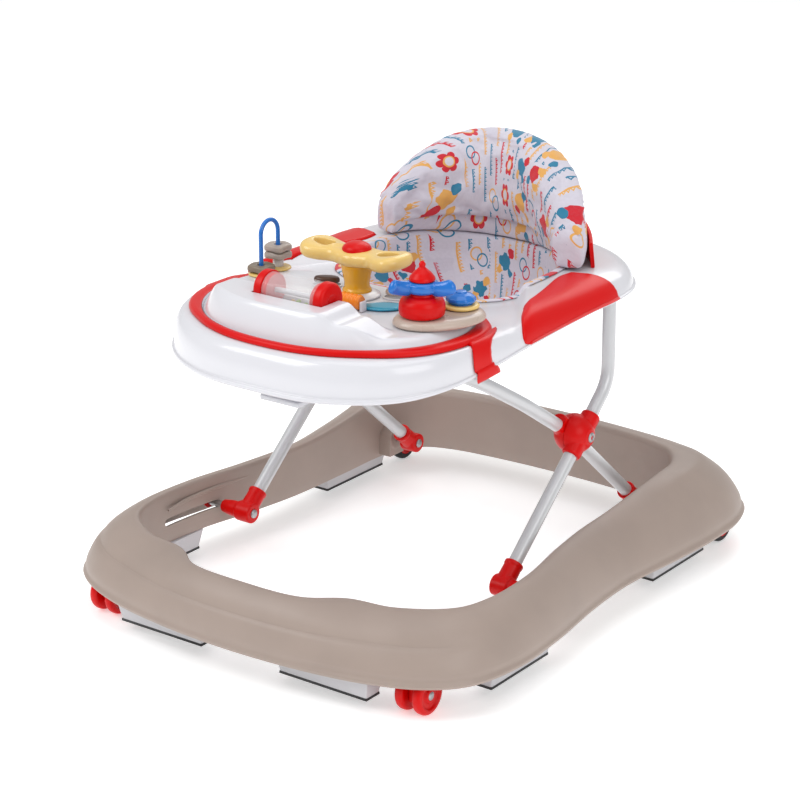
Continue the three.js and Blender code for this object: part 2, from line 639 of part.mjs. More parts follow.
function backrestSupport() {
  const columns = 15;
  const rows = Array.from({ length: columns }, (_, i) => {
    const share = ((2 * i) / (columns - 1) - 1) * 0.86;
    const low = DECK_Z + GAP;
    const top = DECK_Z + 22 + 38 * Math.cos(share * Math.PI / 2);
    return [[17, low], [17, top], [21, top], [21, low]].map(([outward, z]) => {
      const lean = -12 * ((z - low) / 120) * Math.cos(share * BACK.sweep);
      const place = backArc(share, outward + lean);
      return new THREE.Vector3(place.x, place.y, z);
    });
  });
  return stack(rows);
}

// ---- toy tray ----
const TRAY_OUTLINE = [
  [0, -287], [55, -281], [104, -261], [141, -229], [165, -189], [173, -146], [167, -106], [147, -72], [117, -52],
  [60, -45], [0, -44],
];
const TRIM = { width: 9, height: 7, low: TRAY_DECK_Z + GAP };

function trayHeight(x, y, edge) {
  const rounding = 1 - (1 - Math.min(edge / 16, 1)) ** 2;
    const across = ease(-138, -96, x) * (1 - ease(58, 116, x));
  const along = ease(-290, -262, y) * (1 - ease(-206, -188, y));
  const hump = 26 * across * along;
  const raised = TRAY_FLOOR_Z + hump;
  const cradle = RATTLE.radius + 3;
  const off = Math.abs(y - RATTLE.y);
  const inside = off < cradle && Math.abs(x - RATTLE.x) < RATTLE.half + 14;
  const floor = inside ? RATTLE.z - Math.sqrt(cradle * cradle - off * off) : Infinity;
  return TRIM.low + (Math.min(raised, floor) - TRIM.low) * rounding;
}

function trayShell() {
  const stations = 36;
  const rings = 10;
  const outline = closedOutline(TRAY_OUTLINE, stations);
  const centre = new THREE.Vector3(TRAY_CENTRE.x, TRAY_CENTRE.y, 0);
  const grid = (start, drop) => Array.from({ length: rings }, (_, k) => outline.map((from) => {
    const full = from.distanceTo(centre);
    const reach = (full - start) * (1 - k / rings);
    const point = centre.clone().lerp(from, reach / full);
    return point.setZ(trayHeight(point.x, point.y, full - start - reach + 0.01) - drop);
  }));
  const skirt = outline.map((from) => {
    const full = from.distanceTo(centre);
    return centre.clone().lerp(from, (full - TRIM.width - GAP) / full).setZ(TRIM.low);
  });
  const upper = grid(TRIM.width + GAP, 0).map((ring, k) => (k ? ring : ring.map((p) => p.setZ(TRIM.low + 6))));
  return cut(heapedPlate(upper, skirt, centre), rod(RATTLE.radius + 1.2, -RATTLE.half - 13, RATTLE.half + 13, "x",
    RATTLE.x, RATTLE.y, RATTLE.z, 20));
}
// A solid with a shaped top over a flat underside.
function heapedPlate(rings, foot, centre) {
  const n = foot.length;
  const index = [];
  const all = [foot, ...rings];
  rings.forEach((_, k) => {
    for (let i = 0; i < n; i++) {
      const j = (i + 1) % n;
      index.push(k * n + i, k * n + j, (k + 1) * n + j, k * n + i, (k + 1) * n + j, (k + 1) * n + i);
    }
  });
  const points = all.flat();
  const top = points.push(centre.clone().setZ(rings.at(-1)[0].z)) - 1;
  const low = points.push(centre.clone().setZ(foot[0].z)) - 1;
  const last = rings.length * n;
  for (let i = 0; i < n; i++) {
    const j = (i + 1) % n;
    index.push(top, last + i, last + j, low, j, i);
  }
  return closedSurface(points, index);
}

const STRAP = { y0: -166, y1: -120, innerX: 166 };
// Red edge band of the tray, with a strap down each side of the ring.
function trimBand() {
  const outline = closedOutline(TRAY_OUTLINE, 36);
  const centre = new THREE.Vector3(TRAY_CENTRE.x, TRAY_CENTRE.y, 0);
  const sections = outline.map((from) => {
    const inward = centre.clone().sub(from).setZ(0).normalize();
    const at = (inset, z) => from.clone().addScaledVector(inward, inset).setZ(z);
    const { width, height, low } = TRIM;
    return [at(0, low), at(0, low + 2), at(2, low + height - 1.5), at(4.5, low + height), at(width, low + height - 0.5),
      at(width, low)];
  });
  return joined(band(sections), strap(1), strap(-1));
}
function strap(side) {
  const sections = ringSections(144);
  const chosen = sections.filter((section) => section[0].x * side > 0 && section[0].y > STRAP.y0 && section[0].y < STRAP.y1);
  const lift = (section, amount) => section.slice(0, 7).map((point, j) => {
    const along = section[Math.min(j + 1, 6)].clone().sub(section[Math.max(j - 1, 0)]);
    const out = new THREE.Vector3(along.z * side, 0, -along.x * side).normalize();
    return point.clone().addScaledVector(out, amount);
  });
  const flat = (section, amount) => {
    const inner = section[6].clone().setX(side * STRAP.innerX);
    return inner.setZ(deckAt(inner.y) + amount);
  };
  const skin = (amount) => chosen.map((section) => [...lift(section, amount), flat(section, amount)]);
  return slab(skin(GAP + 2.6), skin(GAP));
}

// ---- toys ----
function rattleDrum() {
  const { radius, half, x, y, z } = RATTLE;
  return turned([[radius - 1.6, -half], [radius, -half], [radius, half], [radius - 1.6, half], [radius - 1.6, -half]],
    "x", x, y, z, 20);
}
// Cap with a spigot inside the drum and a stub axle; made for the right-hand end.
function rattleCap(side) {
  const { radius, half, x, y, z } = RATTLE;
  const profile = [[0, half - 6], [radius - 2.2, half - 6], [radius - 2.2, half + GAP], [radius, half + GAP],
    [radius, half + 9], [radius - 3, half + 12], [0, half + 12]];
  const made = turned(profile, "x", 0, 0, 0, 20);
  return (side < 0 ? mirrorX(made) : made).translate(x, y, z);
}

function steeringColumn() {
  const { x, y, z } = STEERING;
  const base = TOY_SEAT_Z;
  return turned([[0, base], [31, base], [31, base + 3], [26, base + 6], [17, base + 7], [17, base + 12], [21, z - 12],
    [21, z - 10], [0, z - 10]], "z", x, y, 0, 18);
}
// Butterfly wheel: two looped grips with a finger hole each, and a hub with a well for the horn button.
function steeringWheel() {
  const { x, y, z } = STEERING;
  const outline = new THREE.Shape();
  outline.moveTo(0, 24);
  for (const s of [1, -1]) {
    outline.bezierCurveTo(s * 12, s * 24, s * 20, s * 28, s * 36, s * 31);
    outline.bezierCurveTo(s * 61, s * 36, s * 72, s * 20, s * 69, 0);
    outline.bezierCurveTo(s * 72, -s * 20, s * 61, -s * 36, s * 36, -s * 31);
    outline.bezierCurveTo(s * 20, -s * 28, s * 12, -s * 24, 0, -s * 24);
  }
  const bevel = { bevelThickness: 5, bevelSize: 4, bevelOffset: -4, bevelSegments: 1 };
  const made = new THREE.ExtrudeGeometry(outline, { depth: 6, curveSegments: 4, ...bevel });
  made.translate(x, y, z - 4);
  const well = rod(17.5, z + 2, z + 30, "z", x, y, 0, 18);
  const fingerHole = (side) => rod(1, z - 20, z + 20, "z", 0, 0, 0, 14).scale(13, 16, 1).translate(x + side * 43, y, 0);
  return cut(made, well, fingerHole(-1), fingerHole(1));
}
function hornButton() {
  const { x, y, z } = STEERING;
  return turned([[0, z + 2.4 + HORN_TRAVEL], [17, z + 2.4 + HORN_TRAVEL], [17, z + 8 + HORN_TRAVEL], [14, z + 11.5 + HORN_TRAVEL],
    [8, z + 13.5 + HORN_TRAVEL], [0, z + 14.2 + HORN_TRAVEL]], "z", x, y, 0, 16);
}

function toyBowl() {
  const { x, y, long, short, turn } = BOWL;
  const shape = new THREE.Shape().absellipse(x, y, long, short, 0, 2 * Math.PI, false, rad(turn));
  const made = new THREE.ExtrudeGeometry(shape, { depth: 3, curveSegments: 8, bevelThickness: 7, bevelSize: 9,
    bevelOffset: -9, bevelSegments: 2 });
  made.translate(0, 0, BOWL_TOP - 10);
  return cut(made, block(0, 260, -260, 0, 300, TOY_SEAT_Z));
}
function propellerTower() {
  const z = BOWL_TOP + GAP;
  const profile = [[0, 0], [22, 0], [25, 3], [25, 12], [23, 17], [18, 22], [14, 24], [14, 26], [3, 26], [3, 44], [0, 44]];
  return turned(profile, "z", TOWER.x, TOWER.y, z, 14);
}
function propeller() {
  const hub = turned([[3.4, 0], [16, 0], [19, 3], [19, 10], [15, 13], [3.4, 13], [3.4, 0]], "z", 0, 0, 0, 18);
  const blade = new THREE.Shape();
  blade.moveTo(12, -7);
  blade.bezierCurveTo(22, -11, 36, -13, 41, -6);
  blade.bezierCurveTo(43, 2, 38, 9, 30, 9);
  blade.bezierCurveTo(22, 9, 16, 8, 12, 7);
  const blades = [0, 1, 2].map((k) => {
    const made = new THREE.ExtrudeGeometry(blade, { depth: 4, curveSegments: 2, bevelThickness: 1.5, bevelSize: 1.5,
      bevelOffset: -1.5, bevelSegments: 1 });
    return made.rotateX(0.3).translate(0, 0, 4.5).rotateZ((k * 2 * Math.PI) / 3 + 0.63);
  });
  const bore = rod(3.4, -5, 30, "z", 0, 0, 0, 16);
  return cut(joined(hub, ...blades), bore).translate(TOWER.x, TOWER.y, PROPELLER_Z);
}
function propellerCone() {
  const profile = [[3.4, 0], [14.5, 0], [14, 3], [9, 9], [4.5, 13], [3, 15], [3.4, 18], [2.6, 20], [0, 22], [0, 6],
    [3.4, 6], [3.4, 0]];
  return turned(profile, "z", TOWER.x, TOWER.y, PROPELLER_Z + 13 + GAP, 12);
}
function knob() {
  const z = BOWL_TOP + GAP;
  const profile = [[0, 0], [19, 0], [20, 1.5], [19, 3.5], [14, 4.5], [14, 7], [17, 8], [16.5, 12], [12, 16], [6, 18],
    [0, 18.4]];
  return turned(profile, "z", KNOB.x, KNOB.y, z, 14);
}
function sideKey(x, y, length, turn) {
  const shape = new THREE.Shape().absellipse(0, 0, length / 2, 8, 0, 2 * Math.PI, false);
  const made = new THREE.ExtrudeGeometry(shape, { depth: 3, curveSegments: 6, bevelThickness: 2, bevelSize: 2,
    bevelOffset: -2, bevelSegments: 1 });
  return made.rotateZ(turn).translate(x, y, TOY_SEAT_Z + 2 + KEY_TRAVEL);
}
function ribbedRoller() {
  const { x, y, radius, half } = ROLLER;
  const profile = [[0, -half]];
  for (let k = -2; k <= 2; k++) {
    const at = (k * half) / 2.5;
    profile.push([radius, at - 2], [radius, at + 2]);
    if (k < 2) profile.push([radius - 1.5, at + half / 5]);
  }
  profile.push([0, half]);
  return turned(profile, "x", x, y, TOY_SEAT_Z + radius + 1.5, 10);
}

// Wire arch with a straight leg at each end.
function beadArch() {
  const { x, rearY, frontY, top } = BEAD_ARCH;
  const half = (rearY - frontY) / 2;
  const low = TOY_SEAT_Z;
  const mid = (rearY + frontY) / 2;
  const spring = top - half;
  const crown = Array.from({ length: 9 }, (_, i) => {
    const angle = Math.PI * (1 - i / 8);
    return new THREE.Vector3(x, mid - half * Math.cos(Math.PI - angle), spring + half * Math.sin(angle));
  });
  return bar([new THREE.Vector3(x, frontY, low), ...crown, new THREE.Vector3(x, rearY, low)], BEAD_ARCH.wire, 8);
}
// A rounded square bead threaded on one leg of the arch.
function bead(y, z) {
  const { half, thick, bore, corner: r } = BEAD;
  const shape = new THREE.Shape();
  shape.absarc(half - r, half - r, r, 0, Math.PI / 2);
  shape.absarc(-half + r, half - r, r, Math.PI / 2, Math.PI);
  shape.absarc(-half + r, -half + r, r, Math.PI, 1.5 * Math.PI);
  shape.absarc(half - r, -half + r, r, 1.5 * Math.PI, 2 * Math.PI);
  shape.holes.push(new THREE.Path().absarc(0, 0, bore, 0, 2 * Math.PI, true));
  return plate(shape, 0, thick, 3).translate(BEAD_ARCH.x, y, z);
}

// ---- assembly ----
add("base_ring", baseRing(), TAUPE, 0.6);
for (const [place, footprint] of Object.entries(PADS)) addPair("brake_pad_" + place, brakePad(footprint), 0xc9c7ca, 0.6);
addPair("caster_fork", casterFork(), RED);
addPair("caster_wheel_outer", casterDisc(false), RED);
addPair("caster_wheel_inner", casterDisc(true), RED);
addPair("rear_wheel_bracket", rearBracket(), RED);
addPair("rear_wheel_hub", rearHub(), RED);
addPair("rear_wheel_tyre", rearTyre(), 0x17171a, 0.8);

add("front_frame_tube", frontFrame(), 0xc4c6c8, 0.4, 0.2);
addPair("rear_leg", rearLeg(), 0xc4c6c8, 0.4, 0.2);
addPair("pinned_foot", footCap(FRONT_LEG_X, PINNED_FOOT_Y, -1, FRONT_LEG_X - 14, 216, 0), RED);
addPair("sliding_foot", footCap(REAR_LEG_X, SLIDING_FOOT_Y, 1, REAR_LEG_X - 14, 246, 8), RED);
addPair("hub_outer", toGeometry(hubHalf(true)), RED);
addPair("hub_inner", toGeometry(hubHalf(false)), RED);
addPair("hub_bolt", hubBolt(), 0x8d8f92, 0.4, 0.8);

add("seat_ring", seatRing(), WHITE, 0.2);
addPair("armrest_panel", armrestPanel(), RED, 0.2);
add("height_rack", rackHousing(), WHITE, 0.3);
add("height_lever", rackLever(), WHITE, 0.3);
add("seat_fabric", seatFabric(), 0xe6e1ea, 0.9);
add("backrest_cushion", backrestCushion(), 0xe6e1ea, 0.9);
add("backrest_support", backrestSupport(), RED, 0.3);

add("tray_shell", trayShell(), WHITE, 0.2);
add("tray_trim", trimBand(), RED, 0.25);
add("rattle_drum", rattleDrum(), 0xe8eaee, 0.05);
add("rattle_cap_right", rattleCap(1), RED);
add("rattle_cap_left", rattleCap(-1), RED);
add("steering_column", steeringColumn(), 0xe1a51e);
add("steering_wheel", steeringWheel(), YELLOW);
add("horn_button", hornButton(), RED);
add("toy_bowl", toyBowl(), 0xb3a398);
add("propeller_tower", propellerTower(), RED);
add("propeller", propeller(), BLUE);
add("propeller_cone", propellerCone(), RED);
add("turning_knob", knob(), BLUE);
add("dark_key", sideKey(-50, -103, 30, 0.5), 0x4a2d22);
add("light_key", sideKey(44.5, -93.5, 30, 0.5), 0xb0998a);
add("ribbed_roller", ribbedRoller(), 0xf0871a);
add("bead_arch", beadArch(), BLUE);
add("bead_front", bead(BEAD_ARCH.frontY, TOY_SEAT_Z + 4), 0x8a7c6c);
add("bead_rear_lower", bead(BEAD_ARCH.rearY, TOY_SEAT_Z + 13), TAUPE);
add("bead_rear_upper", bead(BEAD_ARCH.rearY, TOY_SEAT_Z + 21.6), TAUPE);

// The origin moves from midway between the wheels to under the middle of the whole walker.
const overall = new THREE.Box3().setFromObject(walker);
const middleY = (overall.min.y + overall.max.y) / 2;
for (const mesh of walker.children) mesh.geometry.translate(0, -middleY, 0);

export default walker;
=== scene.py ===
# Baby walker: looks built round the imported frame. Shapes are in millimetres and become metres in makePiece.
import bpy
import bmesh
import math
import random
from mathutils import Matrix, Vector


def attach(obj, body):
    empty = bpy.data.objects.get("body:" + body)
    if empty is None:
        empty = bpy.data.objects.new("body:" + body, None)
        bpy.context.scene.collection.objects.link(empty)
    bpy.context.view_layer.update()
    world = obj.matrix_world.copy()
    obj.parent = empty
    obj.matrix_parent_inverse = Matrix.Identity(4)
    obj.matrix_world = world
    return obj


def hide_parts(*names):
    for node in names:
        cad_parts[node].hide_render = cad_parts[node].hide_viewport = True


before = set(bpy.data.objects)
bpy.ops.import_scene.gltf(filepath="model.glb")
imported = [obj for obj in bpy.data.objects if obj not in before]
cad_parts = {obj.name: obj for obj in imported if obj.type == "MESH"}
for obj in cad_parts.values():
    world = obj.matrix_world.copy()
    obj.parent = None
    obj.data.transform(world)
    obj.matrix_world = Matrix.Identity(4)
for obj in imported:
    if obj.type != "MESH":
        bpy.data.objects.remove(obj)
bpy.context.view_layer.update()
mm = 0.001
middleY = 13.675  # shapes are drawn from a y = 0 that lies this far in front of the frame's origin
sides = {"right": 1, "left": -1}
print("frame loaded")


# ---- curves and sections ----
def curveThrough(points, count, closed=True):
    # centripetal Catmull-Rom, evenly spread over the spans between the given points
    pts = [Vector(p if len(p) == 3 else (*p, 0)) for p in points]
    spans = len(pts) if closed else len(pts) - 1
    made = []
    for i in range(count):
        t = i * spans / (count if closed else count - 1)
        k = min(int(t), spans - 1)
        w = t - k
        if closed:
            p0, p1, p2, p3 = (pts[(k + j) % len(pts)] for j in (-1, 0, 1, 2))
        else:
            p1, p2 = pts[k], pts[k + 1]
            p0 = pts[k - 1] if k > 0 else p1 * 2 - p2
            p3 = pts[k + 2] if k + 2 < len(pts) else p2 * 2 - p1
        d0, d1, d2 = (max((b - a).length, 1e-4) ** 0.5 for a, b in ((p0, p1), (p1, p2), (p2, p3)))
        m1 = ((p1 - p0) / d0 - (p2 - p0) / (d0 + d1) + (p2 - p1) / d1) * d1
        m2 = ((p2 - p1) / d1 - (p3 - p1) / (d1 + d2) + (p3 - p2) / d2) * d1
        made.append(p1 + m1 * w + (-3 * p1 + 3 * p2 - 2 * m1 - m2) * w * w
                    + (2 * p1 - 2 * p2 + m1 + m2) * w ** 3)
    return made


def mirroredOutline(half, count):
    # closed outline from its right half, front centre to rear centre
    back = [(-p[0], *p[1:]) for p in reversed(half[1:-1])]
    return curveThrough([*half, *back], count)


def ease(low, high, value):
    t = min(max((value - low) / (high - low), 0), 1)
    return t * t * (3 - 2 * t)


def bandMesh(sections):
    # closed band through closed sections
    n, m = len(sections), len(sections[0])
    faces = []
    for i in range(n):
        for j in range(m):
            a, b = i * m + j, i * m + (j + 1) % m
            c, d = ((i + 1) % n) * m + (j + 1) % m, ((i + 1) % n) * m + j
            faces.append((a, b, c, d))
    return [p for s in sections for p in s], faces


def stackMesh(sections, capped=True):
    # solid through a run of closed sections, with flat ends
    n, m = len(sections), len(sections[0])
    faces = []
    for i in range(n - 1):
        for j in range(m):
            faces.append((i * m + j, i * m + (j + 1) % m, (i + 1) * m + (j + 1) % m, (i + 1) * m + j))
    if capped:
        faces.append(tuple(range(m)))
        faces.append(tuple(range((n - 1) * m, n * m)))
    return [p for s in sections for p in s], faces


def gridMesh(rows):
    n, m = len(rows), len(rows[0])
    faces = [(i * m + j, i * m + j + 1, (i + 1) * m + j + 1, (i + 1) * m + j)
             for i in range(n - 1) for j in range(m - 1)]
    return [p for r in rows for p in r], faces


def roundCorners(profile, radius, steps=4):
    # a profile's inner corners become short curves; its first and last points stay
    made = [Vector((*profile[0], 0))]
    for a, b, c in zip(profile, profile[1:], profile[2:]):
        a, b, c = (Vector((*p, 0)) for p in (a, b, c))
        reach = min(radius, (a - b).length / 2.1, (c - b).length / 2.1)
        start = b + (a - b).normalized() * reach
        end = b + (c - b).normalized() * reach
        for k in range(steps + 1):
            w = k / steps
            made.append(start * (1 - w) ** 2 + b * 2 * w * (1 - w) + end * w * w)
    made.append(Vector((*profile[-1], 0)))
    return [(p.x, p.y) for p in made]


def turnedMesh(profile, axis, centre, count=64):
    # solid of revolution; profile points are (radius, distance along the axis)
    points, faces, rings = [], [], []
    for radius, along in profile:
        if radius < 1e-6:
            rings.append([len(points)])
            points.append(Vector((0, 0, along)))
            continue
        rings.append(list(range(len(points), len(points) + count)))
        for k in range(count):
            angle = 2 * math.pi * k / count
            points.append(Vector((radius * math.cos(angle), radius * math.sin(angle), along)))
    for a, b in zip(rings, rings[1:]):
        for k in range(count):
            j = (k + 1) % count
            corners = [a[k % len(a)], a[j % len(a)], b[j % len(b)], b[k % len(b)]]
            unique = list(dict.fromkeys(corners))
            if len(unique) > 2:
                faces.append(tuple(unique))
    turn = {"x": Matrix.Rotation(math.pi / 2, 3, "Y"), "y": Matrix.Rotation(-math.pi / 2, 3, "X"),
            "z": Matrix.Identity(3)}[axis]
    return [turn @ p + Vector(centre) for p in points], faces


def bentRoute(points, bend, steps=8):
    corners = [Vector(p) for p in points]
    route = [corners[0]]
    for a, b, c in zip(corners, corners[1:], corners[2:]):
        reach = min(bend, (a - b).length / 2.2, (c - b).length / 2.2)
        start, end = b + (a - b).normalized() * reach, b + (c - b).normalized() * reach
        for k in range(steps + 1):
            w = k / steps
            route.append(start * (1 - w) ** 2 + b * 2 * w * (1 - w) + end * w * w)
    route.append(corners[-1])
    return route


def sweepSections(route, radius, count=24, closed=False, flat=1.0):
    # round section carried along a route without twist; flat squeezes it across its second direction
    n = len(route)

    def heading(i):
        if closed:
            return (route[(i + 1) % n] - route[i - 1]).normalized()
        return (route[min(i + 1, n - 1)] - route[max(i - 1, 0)]).normalized()

    ahead = heading(0)
    across = Vector((1, 0, 0)).cross(ahead)
    if across.length < 1e-3:
        across = Vector((0, 0, 1)).cross(ahead)
    across.normalize()
    sections = []
    for i, point in enumerate(route):
        ahead, before = heading(i), ahead
        across = before.rotation_difference(ahead) @ across
        up = ahead.cross(across)
        width = radius(i / (n - 1)) if callable(radius) else radius
        sections.append([point + across * width * math.cos(2 * math.pi * k / count)
                         + up * width * flat * math.sin(2 * math.pi * k / count) for k in range(count)])
    return sections


def tubeMesh(route, radius, count=24, flat=1.0):
    return stackMesh(sweepSections(route, radius, count, flat=flat))


def loopMesh(route, radius, count=16, flat=1.0):
    return bandMesh(sweepSections(route, radius, count, closed=True, flat=flat))


def boxMesh(low, high):
    (x0, y0, z0), (x1, y1, z1) = low, high
    lowRing = [Vector((x, y, z0)) for x, y in ((x0, y0), (x1, y0), (x1, y1), (x0, y1))]
    return stackMesh([lowRing, [p + Vector((0, 0, z1 - z0)) for p in lowRing]])


def moved(shape, matrix):
    return [matrix @ Vector(p) for p in shape[0]], shape[1]


def mirrored(shape):
    return [Vector((-p[0], p[1], p[2])) for p in shape[0]], shape[1]


def together(*shapes):
    points, faces = [], []
    for shapePoints, shapeFaces in shapes:
        start = len(points)
        points += list(shapePoints)
        faces += [tuple(i + start for i in face) for face in shapeFaces]
    return points, faces


# ---- pieces ----
def rawMesh(name, shape):
    mesh = bpy.data.meshes.new(name)
    mesh.from_pydata([(Vector(p) - Vector((0, middleY, 0))) * mm for p in shape[0]], [], shape[1])
    work = bmesh.new()
    work.from_mesh(mesh)
    bmesh.ops.remove_doubles(work, verts=work.verts, dist=1e-6)
    bmesh.ops.recalc_face_normals(work, faces=work.faces)
    work.to_mesh(mesh)
    work.free()
    return mesh


def applied(piece):
    # the mesh with its modifiers worked in
    result = bpy.data.meshes.new_from_object(piece.evaluated_get(bpy.context.evaluated_depsgraph_get()))
    piece.modifiers.clear()
    old = piece.data
    piece.data = result
    bpy.data.meshes.remove(old)
    return piece


def makePiece(name, shape, finish, body, slot, stands=(), bevel=0.0, crease=38):
    piece = bpy.data.objects.new(name, rawMesh(name, shape))
    bpy.context.scene.collection.objects.link(piece)
    if bevel:
        edge = piece.modifiers.new("edges", "BEVEL")
        edge.width = bevel * mm
        edge.segments = 3
        edge.limit_method = "ANGLE"
        edge.angle_limit = math.radians(crease)
        applied(piece)
    return dressed(piece, finish, body, slot, stands, crease)


def dressed(piece, finish, body, slot, stands=(), crease=38):
    piece.data.materials.clear()
    piece.data.materials.append(finish)
    piece.data.shade_smooth()
    piece.data.set_sharp_from_angle(angle=math.radians(crease))
    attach(piece, body)
    if stands:
        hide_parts(*stands)
    return piece


def fusedPiece(name, shapes, finish, body, slot, stands=(), voxel=0.9, rounds=6, cuts=()):
    # shapes run together with soft fillets, as moulded plastic does
    piece = bpy.data.objects.new(name, rawMesh(name, together(*shapes)))
    bpy.context.scene.collection.objects.link(piece)
    for cutter in cuts:
        cutAway(piece, cutter)
    remesh = piece.modifiers.new("run together", "REMESH")
    remesh.mode = "VOXEL"
    remesh.voxel_size = voxel * mm
    soften = piece.modifiers.new("soften", "SMOOTH")
    soften.factor = 0.5
    soften.iterations = rounds
    applied(piece)
    return dressed(piece, finish, body, slot, stands, 60)


def cutAway(piece, shape):
    tool = bpy.data.objects.new("cutter", rawMesh("cutter", shape))
    bpy.context.scene.collection.objects.link(tool)
    knife = piece.modifiers.new("cut", "BOOLEAN")
    knife.operation = "DIFFERENCE"
    knife.solver = "EXACT"
    knife.object = tool
    applied(piece)
    bpy.data.objects.remove(tool)


# ---- shader helpers and shared effects ----
def socket(group, name, kind, way="INPUT", value=None):
    made = group.interface.new_socket(name=name, in_out=way, socket_type=kind)
    if value is not None:
        made.default_value = value
    return made


class Wiring:
    # shorthand for joining shader nodes
    def __init__(self, tree):
        self.tree = tree

    def node(self, kind, **settings):
        made = self.tree.nodes.new(kind)
        for key, value in settings.items():
            setattr(made, key, value)
        return made

    def feed(self, value, target):
        if isinstance(value, bpy.types.NodeSocket):
            self.tree.links.new(value, target)
        else:
            target.default_value = value

    def maths(self, operation, *values):
        made = self.node("ShaderNodeMath", operation=operation)
        for i, value in enumerate(values):
            self.feed(value, made.inputs[i])
        return made.outputs[0]

    def mix(self, amount, first, second):
        made = self.node("ShaderNodeMix", data_type="RGBA")
        self.feed(amount, made.inputs[0])
        self.feed(first, made.inputs[6])
        self.feed(second, made.inputs[7])
        return made.outputs[2]

    def noise(self, place, scale, detail=2.0):
        made = self.node("ShaderNodeTexNoise")
        self.feed(place, made.inputs["Vector"])
        self.feed(scale, made.inputs["Scale"])
        made.inputs["Detail"].default_value = detail
        return made.outputs["Fac"]

    def below(self, value, limit):
        return self.maths("LESS_THAN", value, limit)

    def between(self, value, low, high):
        made = self.node("ShaderNodeMapRange", clamp=True, interpolation_type="SMOOTHSTEP")
        self.feed(value, made.inputs[0])
        made.inputs[1].default_value = low
        made.inputs[2].default_value = high
        return made.outputs[0]


def newGroup(name):
    group = bpy.data.node_groups.new(name, "ShaderNodeTree")
    wires = Wiring(group)
    return group, wires, wires.node("NodeGroupInput"), wires.node("NodeGroupOutput")


def mouldedGroup():
    # moulded or painted skin: broad mottling, paler worn edges and fine grain
    group, wires, into, out = newGroup("mouldedSkin")
    socket(group, "Color", "NodeSocketColor", value=(0.5, 0.5, 0.5, 1))
    for name, value in (("Mottle", 0.05), ("Wear", 0.1), ("Grain", 900.0), ("Roughness", 0.4),
                        ("Spread", 0.08)):
        socket(group, name, "NodeSocketFloat", value=value)
    socket(group, "Color", "NodeSocketColor", "OUTPUT")
    socket(group, "Roughness", "NodeSocketFloat", "OUTPUT")
    socket(group, "Height", "NodeSocketFloat", "OUTPUT")
    place = wires.node("ShaderNodeTexCoord").outputs["Object"]
    broad = wires.noise(place, 14.0, 4.0)
    fine = wires.noise(place, into.outputs["Grain"], 2.0)
    smear = wires.noise(place, 55.0, 3.0)
    dark = wires.mix(0.75, into.outputs["Color"], (0.06, 0.055, 0.05, 1))
    shade = wires.maths("MULTIPLY", wires.between(broad, 0.35, 0.75), into.outputs["Mottle"])
    toned = wires.mix(shade, into.outputs["Color"], dark)
    edge = wires.between(wires.node("ShaderNodeNewGeometry").outputs["Pointiness"], 0.52, 0.62)
    worn = wires.maths("MULTIPLY", wires.maths("MULTIPLY", edge, smear), into.outputs["Wear"])
    pale = wires.mix(0.6, into.outputs["Color"], (0.9, 0.9, 0.9, 1))
    wires.feed(wires.mix(worn, toned, pale), out.inputs["Color"])
    drift = wires.maths("MULTIPLY", wires.maths("SUBTRACT", smear, 0.5), into.outputs["Spread"])
    wires.feed(wires.maths("ADD", into.outputs["Roughness"], drift), out.inputs["Roughness"])
    wires.feed(fine, out.inputs["Height"])
    return group


def weaveGroup():
    # plain weave: crossed threads along the two directions of Place, in metres
    group, wires, into, out = newGroup("plainWeave")
    socket(group, "Place", "NodeSocketVector")
    socket(group, "Threads", "NodeSocketFloat", value=1400.0)
    socket(group, "Height", "NodeSocketFloat", "OUTPUT")
    socket(group, "Shade", "NodeSocketFloat", "OUTPUT")
    parts = wires.node("ShaderNodeSeparateXYZ")
    wires.feed(into.outputs["Place"], parts.inputs[0])
    waves = []
    for axis in (0, 1):
        count = wires.maths("MULTIPLY", parts.outputs[axis], into.outputs["Threads"])
        angle = wires.maths("MULTIPLY", count, math.pi)
        waves.append(wires.maths("SINE", angle))
    woven = wires.maths("MULTIPLY", waves[0], waves[1])
    slub = wires.noise(into.outputs["Place"], 260.0, 3.0)
    wires.feed(wires.maths("ADD", wires.maths("ABSOLUTE", woven), slub), out.inputs["Height"])
    wires.feed(wires.between(slub, 0.3, 0.8), out.inputs["Shade"])
    return group


groups = {"moulded": mouldedGroup(), "weave": weaveGroup()}


def moulded(name, colour, roughness, mottle=0.06, wear=0.15, grain=900.0, bump=0.03, coat=0.0, metallic=0.0,
            spread=0.08, subsurface=0.0, gloss=0.5):
    material = bpy.data.materials.new(name)
    material.use_nodes = True
    wires = Wiring(material.node_tree)
    shader = material.node_tree.nodes["Principled BSDF"]
    skin = wires.node("ShaderNodeGroup", node_tree=groups["moulded"])
    for key, value in (("Color", (*colour, 1)), ("Mottle", mottle), ("Wear", wear), ("Grain", grain),
                       ("Roughness", roughness), ("Spread", spread)):
        skin.inputs[key].default_value = value
    wires.feed(skin.outputs["Color"], shader.inputs["Base Color"])
    wires.feed(skin.outputs["Roughness"], shader.inputs["Roughness"])
    relief = wires.node("ShaderNodeBump")
    relief.inputs["Strength"].default_value = bump
    relief.inputs["Distance"].default_value = 0.0005
    wires.feed(skin.outputs["Height"], relief.inputs["Height"])
    wires.feed(relief.outputs[0], shader.inputs["Normal"])
    shader.inputs["Metallic"].default_value = metallic
    shader.inputs["Specular IOR Level"].default_value = gloss
    shader.inputs["Coat Weight"].default_value = coat
    shader.inputs["Coat Roughness"].default_value = 0.06
    if subsurface:
        shader.inputs["Subsurface Weight"].default_value = subsurface
        shader.inputs["Subsurface Radius"].default_value = (0.004, 0.003, 0.003)
    return material


